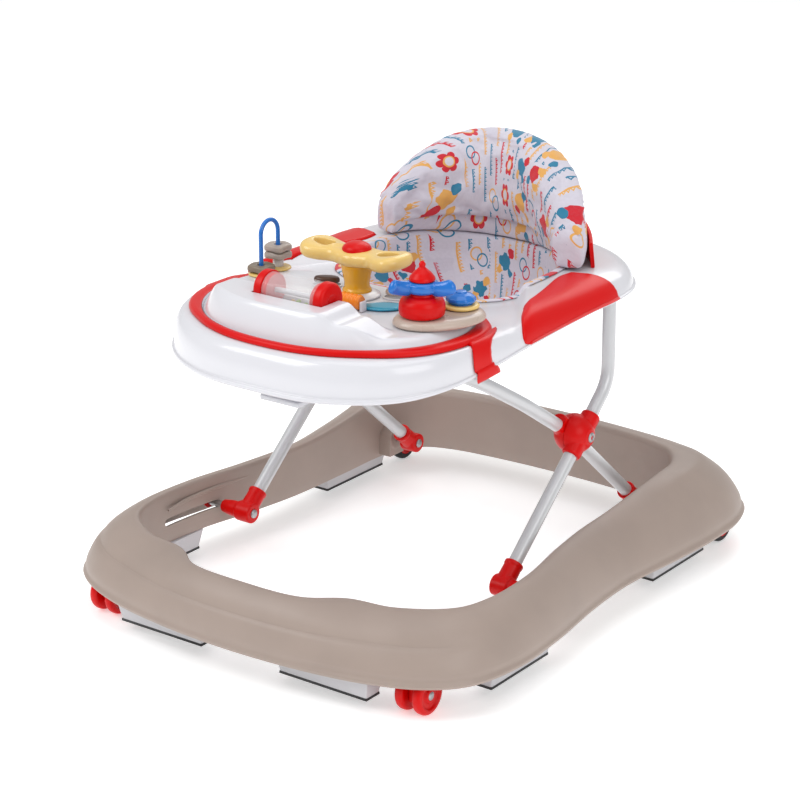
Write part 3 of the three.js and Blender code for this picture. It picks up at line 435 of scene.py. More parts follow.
finishes = {
    "taupe": moulded("taupePlastic", (0.36, 0.285, 0.245), 0.46, mottle=0.10, wear=0.12, grain=1500.0,
                     bump=0.06),
    "pad": moulded("padPlastic", (0.55, 0.54, 0.56), 0.5, mottle=0.12, grain=700.0, bump=0.08),
    "rubber": moulded("blackRubber", (0.012, 0.012, 0.013), 0.7, mottle=0.1, wear=0.1, grain=600.0,
                      bump=0.15),
    "red": moulded("redPlastic", (0.64, 0.0, 0.0), 0.34, mottle=0.03, wear=0.0, bump=0.015, coat=0.0,
                   gloss=0.22),
    "white": moulded("whitePlastic", (0.69, 0.69, 0.73), 0.22, mottle=0.02, wear=0.02, bump=0.012, coat=0.35),
    "steel": moulded("paintedSteel", (0.60, 0.605, 0.62), 0.32, mottle=0.05, wear=0.1, grain=1800.0,
                     bump=0.05, coat=0.2, metallic=0.25),
    "bolt": moulded("zincBolt", (0.42, 0.42, 0.43), 0.35, mottle=0.15, wear=0.4, metallic=0.9, bump=0.06),
    "yellow": moulded("yellowPlastic", (0.80, 0.55, 0.17), 0.25, mottle=0.03, wear=0.04, bump=0.02, coat=0.2,
                      subsurface=0.05),
    "darkYellow": moulded("darkYellowPlastic", (0.80, 0.40, 0.02), 0.22, mottle=0.03, bump=0.02, coat=0.2),
    "blue": moulded("bluePlastic", (0.0, 0.15, 0.56), 0.24, mottle=0.03, wear=0.0, bump=0.02, coat=0.3),
    "bowl": moulded("bowlPlastic", (0.50, 0.40, 0.335), 0.28, mottle=0.04, bump=0.02, coat=0.2),
    "darkBead": moulded("darkTaupePlastic", (0.22, 0.17, 0.12), 0.35, mottle=0.06, bump=0.03),
    "bead": moulded("taupeBeadPlastic", (0.42, 0.35, 0.30), 0.35, mottle=0.06, bump=0.03),
    "brown": moulded("brownPlastic", (0.075, 0.03, 0.018), 0.3, mottle=0.05, bump=0.02),
    "orange": moulded("orangePlastic", (0.90, 0.25, 0.01), 0.25, mottle=0.03, bump=0.02, coat=0.2),
    "green": moulded("greenPlastic", (0.35, 0.62, 0.05), 0.25, mottle=0.03, bump=0.02),
    "turquoise": moulded("turquoisePlastic", (0.006, 0.32, 0.50), 0.15, mottle=0.04, bump=0.02, coat=0.4),
}


def clearFinish():
    material = moulded("clearPlastic", (0.93, 0.94, 0.96), 0.05, mottle=0.0, wear=0.0, bump=0.01, spread=0.02)
    shader = material.node_tree.nodes["Principled BSDF"]
    shader.inputs["Alpha"].default_value = 0.2
    shader.inputs["IOR"].default_value = 1.49
    return material


finishes["clear"] = clearFinish()
print("finishes made")


# ---- base ----
baseShape = {
    "bottom": 38, "wall": 3, "top": 103, "rearRise": 14,
    "slot": (-173, -90, 64, 5.0),  # front end, rear end, height and half height
    "outer": [(0, -362), (100, -356), (184, -340), (241, -315), (275, -280), (291, -216), (288, -131),
              (275, -30), (271, 50), (280, 150), (284, 230), (278, 295), (252, 345), (198, 372), (100, 384),
              (0, 388)],
    "inner": [(0, -320), (75, -314), (118, -286), (172, -276), (226, -238), (240, -195), (239, -120),
              (224, -38), (214, 40), (212, 140), (212, 205), (206, 245), (184, 276), (150, 290), (85, 298),
              (0, 301)],
    # share of the way in from the outer edge, share of the height
    "skin": [(0, 0), (-0.03, 0.055), (0.015, 0.12), (0.03, 0.22), (0.15, 0.47), (0.32, 0.69), (0.57, 0.88),
             (0.8, 0.985), (0.9, 1), (0.97, 0.985), (1, 0.93)],
    # rounded rib along the inner wall, above the slot
    "rib": [(237.5, -176, 82), (238.5, -150, 84), (237.5, -118, 85), (233, -84, 86), (228, -52, 87),
            (223, -18, 88)],
}


def baseSkin(outward, inward, rise, y):
    # the outer face of one section, from the rim over the ridge to the inner edge
    rib = inward - outward
    points = []
    for p in curveThrough(baseShape["skin"], 34, closed=False):
        share, height = p.x, p.y
        shoulder = 5.0 * math.exp(-((share - 0.62) / 0.16) ** 2) * ease(150, 250, y) * (1 - ease(330, 380, y))
        arc = -4.6 * math.exp(-((share - 0.30) / 0.055) ** 2) * (1 - ease(-300, -240, y))
        spot = outward + rib * share
        swell = (shoulder + arc) * math.sin(math.pi * min(max(share, 0), 1))
        spot.z = baseShape["bottom"] + height * rise + swell
        points.append(spot)
    return points


def baseRing():
    outer = mirroredOutline(baseShape["outer"], 288)
    inner = mirroredOutline(baseShape["inner"], 288)
    wall, bottom = baseShape["wall"], baseShape["bottom"]
    sections = []
    for a, b in zip(outer, inner):
        rise = baseShape["top"] + baseShape["rearRise"] * ease(60, 250, a.y) - bottom
        skin = baseSkin(a, b, rise, a.y)
        width = (b - a).length
        unit = (b - a) / width
        innerWall = [Vector((b.x, b.y, bottom + rise * h)) for h in (0.9, 0.75, 0.5, 0.25, 0)]
        under = []
        for p in reversed(skin[6:]):
            inset = (p - a).dot(unit)
            spot = a + unit * min(max(inset, wall), width - wall)
            spot.z = max(p.z - wall, bottom)
            under.append(spot)
        foot = b - unit * wall
        rim = a + unit * wall
        sections.append([*skin, *innerWall, Vector((foot.x, foot.y, bottom)), *under,
                         Vector((rim.x, rim.y, bottom))])
    return bandMesh(sections)


def slotTool(x0, x1, y0, y1, z, half):
    # round-ended slot through a side wall
    ring = []
    for k in range(13):
        angle = math.pi * (k / 12 - 0.5)
        ring.append((y1 + half * math.cos(angle), z + half * math.sin(angle)))
    for k in range(13):
        angle = math.pi * (k / 12 + 0.5)
        ring.append((y0 + half * math.cos(angle), z + half * math.sin(angle)))
    return stackMesh([[Vector((x, y, zz)) for y, zz in ring] for x in (x0, x1)])


def ribRadius(t):
    return 2.6 * math.sin(math.pi * min(max(t, 0.04), 0.96)) ** 0.3


def makeBase():
    piece = makePiece("baseShell", baseRing(), finishes["taupe"], "base", "base_plastic", ["base_ring"],
                      crease=30)
    for side in sides.values():
        x0, x1 = sorted((side * 228, side * 262))
        cutAway(piece, slotTool(x0, x1, *baseShape["slot"]))
    dressed(piece, finishes["taupe"], "base", "base_plastic", crease=30)
    for name, side in sides.items():
        bossShape = turnedMesh(roundCorners([(0, 193), (15, 193), (15, 214), (0, 214)], 1.5), "x",
                               (0, 226, 64))
        block = boxMesh((194, 211, 41), (213, 241, 64))
        boss = together(bossShape, block)
        boss = boss if side > 0 else mirrored(boss)
        fusedPiece("footBoss_" + name, [boss], finishes["taupe"], "base", "base_plastic", voxel=0.9, rounds=3)
        route = curveThrough([(side * x, y, z) for x, y, z in baseShape["rib"]], 40, closed=False)
        makePiece("wallRib_" + name, tubeMesh(route, ribRadius), finishes["taupe"], "base", "base_plastic")
        blocks = together(boxMesh((side * 220 - 11, -307, 50.4), (side * 220 + 11, -285, 72)),
                          boxMesh((side * 244 - 8, 300, 60.4), (side * 244 + 8, 316, 78)))
        makePiece("wheelBlocks_" + name, blocks, finishes["taupe"], "base", "base_plastic", bevel=0.8)


pads = {"bottom": 12, "top": 37.6, "taper": 5, "strip": 2.4,
        "front": (52, 180, -334, -302), "side": (238, 272, -232, -112), "rear": (228, 262, 122, 250)}


def makePads():
    for place in ("front", "side", "rear"):
        x0, x1, y0, y1 = pads[place]
        for name, side in sides.items():
            def ring(inset, z):
                low, high = (x0 + inset, y0 + inset), (x1 - inset, y1 - inset)
                return [Vector((side * x, y, z)) for x, y in (low, (high[0], low[1]), high,
                                                              (low[0], high[1]))]
            body = stackMesh([ring(0, pads["top"]), ring(pads["taper"], pads["bottom"])])
            makePiece(f"brakePad_{place}_{name}", body, finishes["pad"], "base", "pad_plastic",
                      [f"brake_pad_{place}_{name}"], bevel=1.6, crease=20)
            sole = stackMesh([ring(pads["taper"] - 0.8, pads["bottom"] + pads["strip"]),
                              ring(pads["taper"] - 1.0, pads["bottom"] - 0.8)])
            makePiece(f"padStrip_{place}_{name}", sole, finishes["rubber"], "base", "tyre_rubber", bevel=0.5,
                      crease=20)


makeBase()
makePads()
print("base made")


# ---- wheels ----
wheel = {"radius": 22.5, "frontX": 220, "frontY": -296, "rearX": 244, "rearY": 308, "disc": 12, "space": 11}


def discProfile(a, b, radius):
    # rounded tread, a raised rim and a dished side
    return [(3.3, a), (radius - 4, a), (radius - 1, a + 1.2), (radius, a + 4), (radius, b - 4),
            (radius - 1.2, b - 1.2), (radius - 4.5, b), (radius - 6.5, b - 0.2), (radius - 8, b - 2.4),
            (9, b - 2.8), (7.5, b - 0.4), (3.3, b - 0.4), (3.3, a)]


def makeWheels():
    r, x, y = wheel["radius"], wheel["frontX"], wheel["frontY"]
    near = wheel["space"] / 2
    far = near + wheel["disc"]
    for name, side in sides.items():
        centre = (side * x, y, r)
        for which, way in (("outer", 1), ("inner", -1)):
            shape = turnedMesh(roundCorners(discProfile(near, far, r), 1.0, 3), "x", (0, 0, 0), 72)
            shape = shape if way > 0 else mirrored(shape)
            makePiece(f"casterDisc_{which}_{name}", moved(shape, Matrix.Translation(centre)), finishes["red"],
                      f"caster_{which}_wheel_{name}", "red_plastic", [f"caster_wheel_{which}_{name}"])
            head = turnedMesh(roundCorners([(0, far - 2), (5.4, far - 2), (5.4, far - 0.6), (2.5, far + 0.9),
                                            (0, far + 1)], 0.8, 3), "x", (0, 0, 0), 32)
            head = head if way > 0 else mirrored(head)
            makePiece(f"rivetHead_{which}_{name}", moved(head, Matrix.Translation(centre)), finishes["bolt"],
                      f"caster_{which}_wheel_{name}", "bolt_steel")
        half = near - 0.5
        fork = [boxMesh((centre[0] - half, y - 11, 14), (centre[0] + half, y + 11, 47)),
                turnedMesh([(0, 44), (13, 44), (14, 47), (14, 49.5), (0, 49.5)], "z", (centre[0], y, 0), 48),
                turnedMesh([(0, 46), (5, 46), (5, 62), (0, 62)], "z", (centre[0], y, 0), 32)]
        fusedPiece("casterFork_" + name, fork, finishes["red"], "caster_" + name, "red_plastic",
                   ["caster_fork_" + name], voxel=0.7, rounds=3)
        rear = (side * wheel["rearX"], wheel["rearY"], r)
        hub = turnedMesh(roundCorners([(3.3, -7), (6, -7), (7, -5.5), (12.5, -5.5), (13.5, -7), (15, -7),
                                       (15, 7), (13.5, 7), (12.5, 5.5), (7, 5.5), (6, 7), (3.3, 7),
                                       (3.3, -7)], 0.6, 2), "x", rear, 64)
        makePiece("rearHub_" + name, hub, finishes["red"], "rear_wheel_" + name, "red_plastic",
                  ["rear_wheel_hub_" + name])
        tyre = turnedMesh(roundCorners([(15.3, -7), (r - 3, -7), (r - 0.2, -4), (r, 0), (r - 0.2, 4),
                                        (r - 3, 7), (15.3, 7), (15.3, -7)], 1.6, 3), "x", rear, 72)
        makePiece("rearTyre_" + name, tyre, finishes["rubber"], "rear_wheel_" + name, "tyre_rubber",
                  ["rear_wheel_tyre_" + name])
        cheeks = [boxMesh((rear[0] - 12, rear[1] - 9, 48), (rear[0] + 12, rear[1] + 9, 60))]
        for x0 in (-12, 8):
            cheeks.append(boxMesh((rear[0] + x0, rear[1] - 9, 22), (rear[0] + x0 + 4, rear[1] + 9, 59)))
            cheeks.append(turnedMesh([(0, x0), (9, x0), (9, x0 + 4), (0, x0 + 4)], "x", rear, 48))
        cheeks.append(turnedMesh([(0, -10), (2.9, -10), (2.9, 10), (0, 10)], "x", rear, 24))
        fusedPiece("rearBracket_" + name, cheeks, finishes["red"], "base", "red_plastic",
                   ["rear_wheel_bracket_" + name], voxel=0.7, rounds=2)


makeWheels()
print("wheels made")


# ---- scissor frame ----
legs = {"radius": 8, "bend": 20, "rearX": 188, "frontX": 170, "footZ": 64, "slidingY": -90, "pinnedY": 226,
        "hub": (68, 199), "pivot": (179, 138, 350), "rackBar": (-150, 336), "start": 18}
legAngle = math.atan2(legs["hub"][1] - legs["footZ"], legs["hub"][0] - legs["slidingY"])
startY, startZ = legs["start"] * math.cos(legAngle), legs["start"] * math.sin(legAngle)
rearLegPath = [(legs["rearX"], legs["slidingY"] + startY, legs["footZ"] + startZ),
               (legs["rearX"], *legs["hub"]), (legs["rearX"] - 1, 126, 249),
               (legs["pivot"][0], legs["pivot"][1], legs["pivot"][2] + 9)]
frontLegPath = [(legs["frontX"], legs["pinnedY"] - startY, legs["footZ"] + startZ),
                (legs["frontX"], *legs["hub"]), (legs["frontX"] - 1, -24, 259),
                (legs["frontX"] - 12, -88, 299), (120, *legs["rackBar"])]


def footShape(x, y, direction, pinTo):
    # clevis: round eye on the pin with two flat cheeks and a sleeve up the leg
    turn = Matrix.Rotation(-direction * (math.pi / 2 - legAngle), 4, "X")
    lean = Matrix.Translation((x, y, legs["footZ"])) @ turn
    sleeve = moved(turnedMesh(roundCorners([(0, -2), (10.5, -2), (11.2, 4), (10.6, 26), (9.6, 31), (0, 31)],
                                           1.5, 3), "z", (0, 0, 0), 48), lean)
    collar = moved(turnedMesh(roundCorners([(0, 26), (11.4, 26), (11.4, 31), (0, 31)], 1, 3), "z", (0, 0, 0),
                              48), lean)
    eye = turnedMesh(roundCorners([(0, x - 11), (12.5, x - 11), (12.5, x + 11), (0, x + 11)], 1.5, 3), "x",
                     (0, y, legs["footZ"]), 56)
    boss = turnedMesh(roundCorners([(0, x), (11, x), (9.5, x + 24), (7.5, pinTo - 22), (0, pinTo - 22)], 1.5,
                                   3), "x", (0, y, legs["footZ"]), 48)
    return [sleeve, collar, eye, boss] if direction > 0 else [sleeve, collar, eye]


def footPin(y, pinFrom, pinTo):
    return turnedMesh([(0, pinFrom), (4, pinFrom), (4, pinTo), (0, pinTo)], "x", (0, y, legs["footZ"]), 32)


def makeFrame():
    other = [(-x, y, z) for x, y, z in reversed(frontLegPath)]
    frontTube = tubeMesh(bentRoute([*frontLegPath, *other], legs["bend"]), legs["radius"], 32)
    makePiece("frontTube", frontTube, finishes["steel"], "front_frame", "leg_steel", ["front_frame_tube"])
    hubY, hubZ = legs["hub"]
    split = (legs["rearX"] + legs["frontX"]) / 2
    for name, side in sides.items():
        def flip(shape):
            return shape if side > 0 else mirrored(shape)
        tube = tubeMesh(bentRoute(rearLegPath, legs["bend"]), legs["radius"], 32)
        makePiece("rearLeg_" + name, flip(tube), finishes["steel"], "rear_frame", "leg_steel",
                  ["rear_leg_" + name])
        pinned = footShape(legs["frontX"], legs["pinnedY"], -1, 216)
        fusedPiece("pinnedFoot_" + name, [flip(s) for s in pinned], finishes["red"], "front_frame",
                   "red_plastic", ["pinned_foot_" + name], voxel=0.8, rounds=4)
        sliding = footShape(legs["rearX"], legs["slidingY"], 1, 246)
        fusedPiece("slidingFoot_" + name, [flip(s) for s in sliding], finishes["red"], "rear_frame",
                   "red_plastic", ["sliding_foot_" + name], voxel=0.8, rounds=4)
        makePiece("pinnedPin_" + name, flip(footPin(legs["pinnedY"], legs["frontX"], 216)), finishes["bolt"],
                  "front_frame", "bolt_steel")
        makePiece("slidingPin_" + name, flip(footPin(legs["slidingY"], legs["rearX"], 248)), finishes["bolt"],
                  "rear_frame", "bolt_steel")
        for body, x, y in (("front_frame", legs["frontX"] - 11.4, legs["pinnedY"]),
                           ("rear_frame", legs["rearX"] - 11.4, legs["slidingY"])):
            head = turnedMesh(roundCorners([(0, x - 2.8), (3, x - 2.7), (5.4, x - 1.2), (5.6, x + 1),
                                            (0, x + 1)], 0.8, 3), "x", (0, y, legs["footZ"]), 32)
            makePiece(f"footBolt_{body}_{name}", flip(head), finishes["bolt"], body, "bolt_steel")
        slider = turnedMesh(roundCorners([(0, 246.6), (8, 246.6), (8, 249.8), (0, 249.8)], 1, 3), "x",
                            (0, legs["slidingY"], legs["footZ"]), 40)
        makePiece("slotButton_" + name, flip(slider), finishes["red"], "rear_frame", "red_plastic")
        for half, body in (("outer", "rear_frame"), ("inner", "front_frame")):
            makeHub(name, half, body, split, hubY, hubZ, flip)


def makeHub(name, half, body, split, hubY, hubZ, flip):
    outer = half == "outer"
    radius, x = 24, legs["rearX"] if half == "outer" else legs["frontX"]
    ball = turnedMesh([(radius * math.sin(math.pi * k / 36), -radius * math.cos(math.pi * k / 36))
                       for k in range(37)], "x", (split, hubY, hubZ), 72)
    turn = Matrix.Rotation((-1 if outer else 1) * (math.pi / 2 - legAngle), 4, "X")
    lean = Matrix.Translation((x, hubY, hubZ)) @ turn
    collar = turnedMesh(roundCorners([(0, -29), (10.8, -29), (11.6, -27), (11.6, 27), (10.8, 29), (0, 29)],
                                     0.8, 3), "z", (0, 0, 0), 48)
    ring = turnedMesh(roundCorners([(0, split + 18), (10.5, split + 18), (10.5, split + 22.4),
                                    (0, split + 22.4)], 0.8, 3), "x", (0, hubY, hubZ), 48)
    shapes = [ball, moved(collar, lean)] + ([ring] if outer else [])
    x0, x1 = (split - 60, split + 0.3) if outer else (split - 0.3, split + 60)
    away = boxMesh((x0, hubY - 60, hubZ - 60), (x1, hubY + 60, hubZ + 60))
    piece = fusedPiece(f"hubHalf_{half}_{name}", [flip(s) for s in shapes], finishes["red"], body,
                       "red_plastic", [f"hub_{half}_{name}"], voxel=0.9, rounds=4)
    cutAway(piece, flip(away))
    dressed(piece, finishes["red"], body, "red_plastic", crease=50)
    if outer:
        bolt = turnedMesh(roundCorners([(0, split + 19), (6, split + 19), (6, split + 24),
                                        (4.5, split + 25.2), (3, split + 25.2), (2.6, split + 23.6),
                                        (0, split + 23.6)], 0.6, 3), "x", (0, hubY, hubZ), 40)
        makePiece("hubBolt_" + name, flip(bolt), finishes["bolt"], body, "bolt_steel", ["hub_bolt_" + name])


makeFrame()
print("frame made")


# ---- seat ring ----
ringShape = {
    "deck": 375, "trayDeck": 365, "wall": 3,
    "outer": [(0, -303, 320), (70, -298, 320), (124, -275, 321), (162, -241, 323), (185, -198, 328),
              (194, -140, 334), (198, -70, 342), (199, 0, 347), (199, 70, 350), (198, 120, 350),
              (191, 165, 350), (171, 203, 350), (130, 238, 350), (80, 258, 350), (0, 266, 350)],
    "inner": [(0, -32), (30, -32), (60, -29), (85, -20), (105, -6), (117, 15), (122, 40), (123, 65),
              (122, 90), (120, 112), (113, 135), (97, 158), (70, 176), (36, 184), (0, 186)],
}


def deckAt(y):
    return ringShape["trayDeck"] + (ringShape["deck"] - ringShape["trayDeck"]) * ease(-100, -50, y)


def shoulderAt(y):
    return 15 + 19 * ease(-190, -70, y) - 12 * ease(150, 260, y)


def ringFace(outward, inward, count=26):
    # outer face of one section: rolled lip, skirt and rounded shoulder up to the deck
    rim = outward.z
    rib = Vector((inward.x - outward.x, inward.y - outward.y, 0))
    unit = rib.normalized()
    s, rise = shoulderAt(outward.y), deckAt(outward.y) - rim
    keys = [(0.8, -0.02), (-1.2, 0.0), (-2.6, 0.05), (-2.2, 0.1), (0.2, 0.14), (0.6, 0.2), (0.08 * s, 0.45),
            (0.26 * s, 0.74), (0.6 * s, 0.93), (s, 1)]
    points = []
    for p in curveThrough(keys, count, closed=False):
        spot = outward + unit * p.x
        spot.z = rim + p.y * rise
        points.append(spot)
    return points, unit, rib.length


def ringLines(count):
    return mirroredOutline(ringShape["outer"], count), mirroredOutline(ringShape["inner"], count)


def seatRing():
    sections = []
    wall = ringShape["wall"]
    for a, b in zip(*ringLines(280)):
        face, unit, width = ringFace(a, b)
        top, flat = deckAt(a.y), ringShape["deck"]

        def at(inset, z):
            spot = a + unit * inset
            spot.z = z
            return spot
        inner = [at(width - 5, top), at(width - 2.2, top - 0.6), at(width - 0.6, top - 2.2),
                 at(width, top - 5), at(width, flat - 24), at(width - wall, flat - 24),
                 at(width - wall, top - wall)]
        under = [p + unit * 2.4 - Vector((0, 0, 2.6)) for p in reversed(face[8:])]
        sections.append([*face, *inner, *under, at(wall, a.z)])
    return bandMesh(sections)


lipShare = 0.23  # how far up the outer face the rolled lip stands out most


def ringPatch(corners, top, thick, side, count=72, rows=20):
    # a raised panel on the ring's outer face; top says where each share of its length and height lies
    outer, inner = ringLines(2400)
    y0, y1 = corners
    span = [i for i, p in enumerate(outer) if p.x > 0 and y0 - 60 < p.y < y1 + 60]
    lines = [(outer[i].y, *ringFace(outer[i], inner[i], 40)) for i in span]
    lines.sort(key=lambda line: line[0])

    def onRing(y, share):
        # share 0 to 1 runs up the face; below 0 it hangs under the rim, above 1 it runs in over the deck
        k = min(range(len(lines)), key=lambda i: abs(lines[i][0] - y))
        _, face, unit, _ = lines[k]
        if share < 0:
            return face[round(lipShare * (len(face) - 1))] + Vector((0, 0, share)), -unit
        if share <= 1:
            t = share * (len(face) - 1)
            j = min(int(t), len(face) - 2)
            spot = face[j].lerp(face[j + 1], t - j)
            along = (face[min(j + 2, len(face) - 1)] - face[max(j - 1, 0)]).normalized()
            out = Vector((-unit.x * along.z, -unit.y * along.z, math.hypot(along.x, along.y)))
            return spot, out.normalized()
        spot = face[-1] + unit * (share - 1)
        return spot, Vector((0, 0, 1))
    upper, lower = [], []
    for i in range(count + 1):
        s = i / count
        upRow, lowRow = [], []
        for j in range(rows + 1):
            t = j / rows
            y, share = top(s, t)
            spot, out = onRing(y, share)
            rim = min(s, 1 - s) * (y1 - y0)
            edge = min(1, rim / 3.0, min(t, 1 - t) * 60 / 3.0)
            lift = 0.5 + thick * math.sqrt(max(0, 1 - (1 - edge) ** 2))
            upRow.append(spot + out * lift)
            lowRow.append(spot + out * 0.25)
        upper.append(upRow)
        lower.append(lowRow)
    up, down = gridMesh(upper), gridMesh(lower)
    shape = together(up, down)
    n, m, low = count + 1, rows + 1, (count + 1) * (rows + 1)
    walls = []
    for i in range(n - 1):
        for j in (0, m - 1):
            walls.append((i * m + j, (i + 1) * m + j, low + (i + 1) * m + j, low + i * m + j))
    for j in range(m - 1):
        for i in (0, n - 1):
            walls.append((i * m + j, i * m + j + 1, low + i * m + j + 1, low + i * m + j))
    shape = (shape[0], shape[1] + walls)
    return shape if side > 0 else mirrored(shape)


# low is where the lower edge lies up the face, face the face's own length and inward the reach over the deck
armrest = {"front": -66, "rear": 126, "thick": 2.6, "low": 0.27, "face": 42, "inward": 30}


def armrestPlace(s, t):
    # slanted front edge, a bowed inner boundary and a rounded rear corner
    front = armrest["front"] + 10 * (1 - t) ** 2 - 12 * math.sin(math.pi * min(t * 1.1, 1)) - 6 * t ** 3
    rear = armrest["rear"] - 3 * t - 30 * max(t - 0.55, 0) ** 1.6
    y = front + (rear - front) * s
    bow = math.sin(math.pi * (0.2 + 0.62 * s)) ** 0.36
    climb = (1 - armrest["low"]) * armrest["face"]
    run = t * (climb + armrest["inward"] * bow)
    return y, armrest["low"] + run / armrest["face"] if run < climb else 1 + (run - climb)


strapShape = {"front": -180, "rear": -130, "thick": 3.6, "face": 46, "deckRun": 27, "below": 10, "lean": 24}


def strapPlace(s, t):
    # the strap leans back towards the rim, flares into the tray's edge and ends in a short tab under the rim
    waist = 0.60 + 0.42 * ease(0.5, 0.92, t) + 0.16 * (1 - ease(0.06, 0.16, t))
    middle = (strapShape["front"] + strapShape["rear"]) / 2 + strapShape["lean"] * (1 - t) ** 1.3
    y = middle + (s * 2 - 1) * (strapShape["rear"] - strapShape["front"]) / 2 * waist
    face = strapShape["face"]
    run = t * (face + strapShape["deckRun"] + strapShape["below"]) - strapShape["below"]
    if run < 0:
        return y, run
    return y, lipShare + (1 - lipShare) * run / face if run < face else 1 + (run - face)


def makeRing():
    makePiece("seatRing", seatRing(), finishes["white"], "ring", "white_plastic", ["seat_ring"], crease=50)
    for name, side in sides.items():
        panel = ringPatch((armrest["front"], armrest["rear"]), armrestPlace, armrest["thick"], side)
        makePiece("armrest_" + name, panel, finishes["red"], "ring", "red_plastic", ["armrest_panel_" + name],
                  crease=60)
        pin = turnedMesh([(0, 166), (3, 166), (3, 195), (0, 195)], "x", (0, 138, 350), 24)
        shape = together(boxMesh((164, 125, 338), (168, 151, 373)), pin)
        makePiece("pivotLug_" + name, shape if side > 0 else mirrored(shape), finishes["white"], "ring",
                  "white_plastic", bevel=0.8)
    makeRack()


rack = {"half": 40, "front": -262, "rear": -130, "top": 361, "room": 9.5, "limit": 25, "tiltRatio": 0.4}


def barInRing(fold):
    # where the front tube's cross-bar lies in the ring's own frame at a fold angle
    length = math.hypot(legs["hub"][0] - legs["slidingY"], legs["hub"][1] - legs["footZ"])
    hub = Vector((legs["pinnedY"] - length * math.cos(legAngle - fold),
                  legs["footZ"] + length * math.sin(legAngle - fold)))

    def spin(y, z, angle):
        return Vector((y * math.cos(angle) - z * math.sin(angle), y * math.sin(angle) + z * math.cos(angle)))
    pivotY, pivotZ = legs["pivot"][1], legs["pivot"][2]
    pivot = hub + spin(pivotY - legs["hub"][0], pivotZ - legs["hub"][1], -fold)
    bar = hub + spin(legs["rackBar"][0] - legs["hub"][0], legs["rackBar"][1] - legs["hub"][1], fold)
    return spin(*(bar - pivot), -rack["tiltRatio"] * fold) + Vector((pivotY, pivotZ))


def makeRack():
    outline = [(rack["rear"], rack["top"]), (rack["front"], rack["top"]), (rack["front"], 308),
               (rack["front"] + 10, 302), (rack["rear"] - 60, 303), (rack["rear"], 322)]
    body = stackMesh([[Vector((x, y, z)) for y, z in outline] for x in (-rack["half"], rack["half"])])
    piece = makePiece("rackHousing", body, finishes["white"], "ring", "white_plastic", ["height_rack"],
                      bevel=2.0)
    track = [barInRing(math.radians(rack["limit"] * k / 10)) for k in range(11)]
    bore = [(0, -60), (rack["room"], -60), (rack["room"], 60), (0, 60)]
    for spot in track[::2]:
        cutAway(piece, turnedMesh(bore, "x", (0, *spot), 32))
    for a, b in zip(track[::2], track[2::2]):
        across = Vector((-(b - a).y, (b - a).x)).normalized() * rack["room"]
        ring = [a + across, a - across, b - across, b + across]
        cutAway(piece, stackMesh([[Vector((x, p.x, p.y)) for p in ring] for x in (-60, 60)]))
    cutAway(piece, boxMesh((-20.6, -248.6, 280), (20.6, -231.4, 306.5)))
    dressed(piece, finishes["white"], "ring", "white_plastic")
    lever = together(boxMesh((-20, -248, 295.5), (20, -232, 301.4)),
                     boxMesh((-27, -254, 290), (27, -226, 296)))
    makePiece("heightLever", lever, finishes["white"], "height_lever", "white_plastic", ["height_lever"],
              bevel=1.6)


makeRing()
print("ring made")


# ---- toy tray ----
tray = {
    "floor": 379, "centre": (0, -165), "trimWidth": 9, "trimHeight": 7, "low": 365.4, "gap": 0.4,
    "outline": [(0, -287), (55, -281), (104, -261), (141, -229), (165, -189), (173, -146), (167, -106),
                (147, -72), (117, -52), (60, -45), (0, -44)],
}
rattle = {"x": -2, "y": -216, "z": 406, "radius": 20, "half": 36}


def trayHeight(x, y, edge):
    rounding = 1 - (1 - min(edge / 16, 1)) ** 2
    across = ease(-138, -96, x) * (1 - 0.42 * ease(58, 78, x) - 0.58 * ease(82, 121, x))
    along = ease(-290, -262, y) * (1 - ease(-206, -188, y))
    return tray["low"] + (tray["floor"] + 26 * across * along - tray["low"]) * rounding


def trayShell():
    outline = mirroredOutline(tray["outline"], 240)
    centre = Vector((*tray["centre"], 0))
    start = tray["trimWidth"] + tray["gap"]
    rows = []
    for k in range(120):
        row = []
        for p in outline:
            full = (p - centre).length
            reach = (full - start) * (1 - k / 120)
            spot = centre.lerp(p, reach / full)
            spot.z = trayHeight(spot.x, spot.y, full - start - reach + 0.01) if k else tray["low"] + 6
            row.append(spot)
        rows.append(row)
    foot = [Vector((p.x, p.y, tray["low"])) for p in rows[0]]
    sections = [foot, *rows]
    points, faces = stackMesh(sections, capped=False)
    top, low = len(points), len(points) + 1
    last = (len(sections) - 1) * len(foot)
    points += [Vector((centre.x, centre.y, rows[-1][0].z)), Vector((centre.x, centre.y, tray["low"]))]
    for i in range(len(foot)):
        j = (i + 1) % len(foot)
        faces += [(top, last + i, last + j), (low, j, i)]
    return points, faces


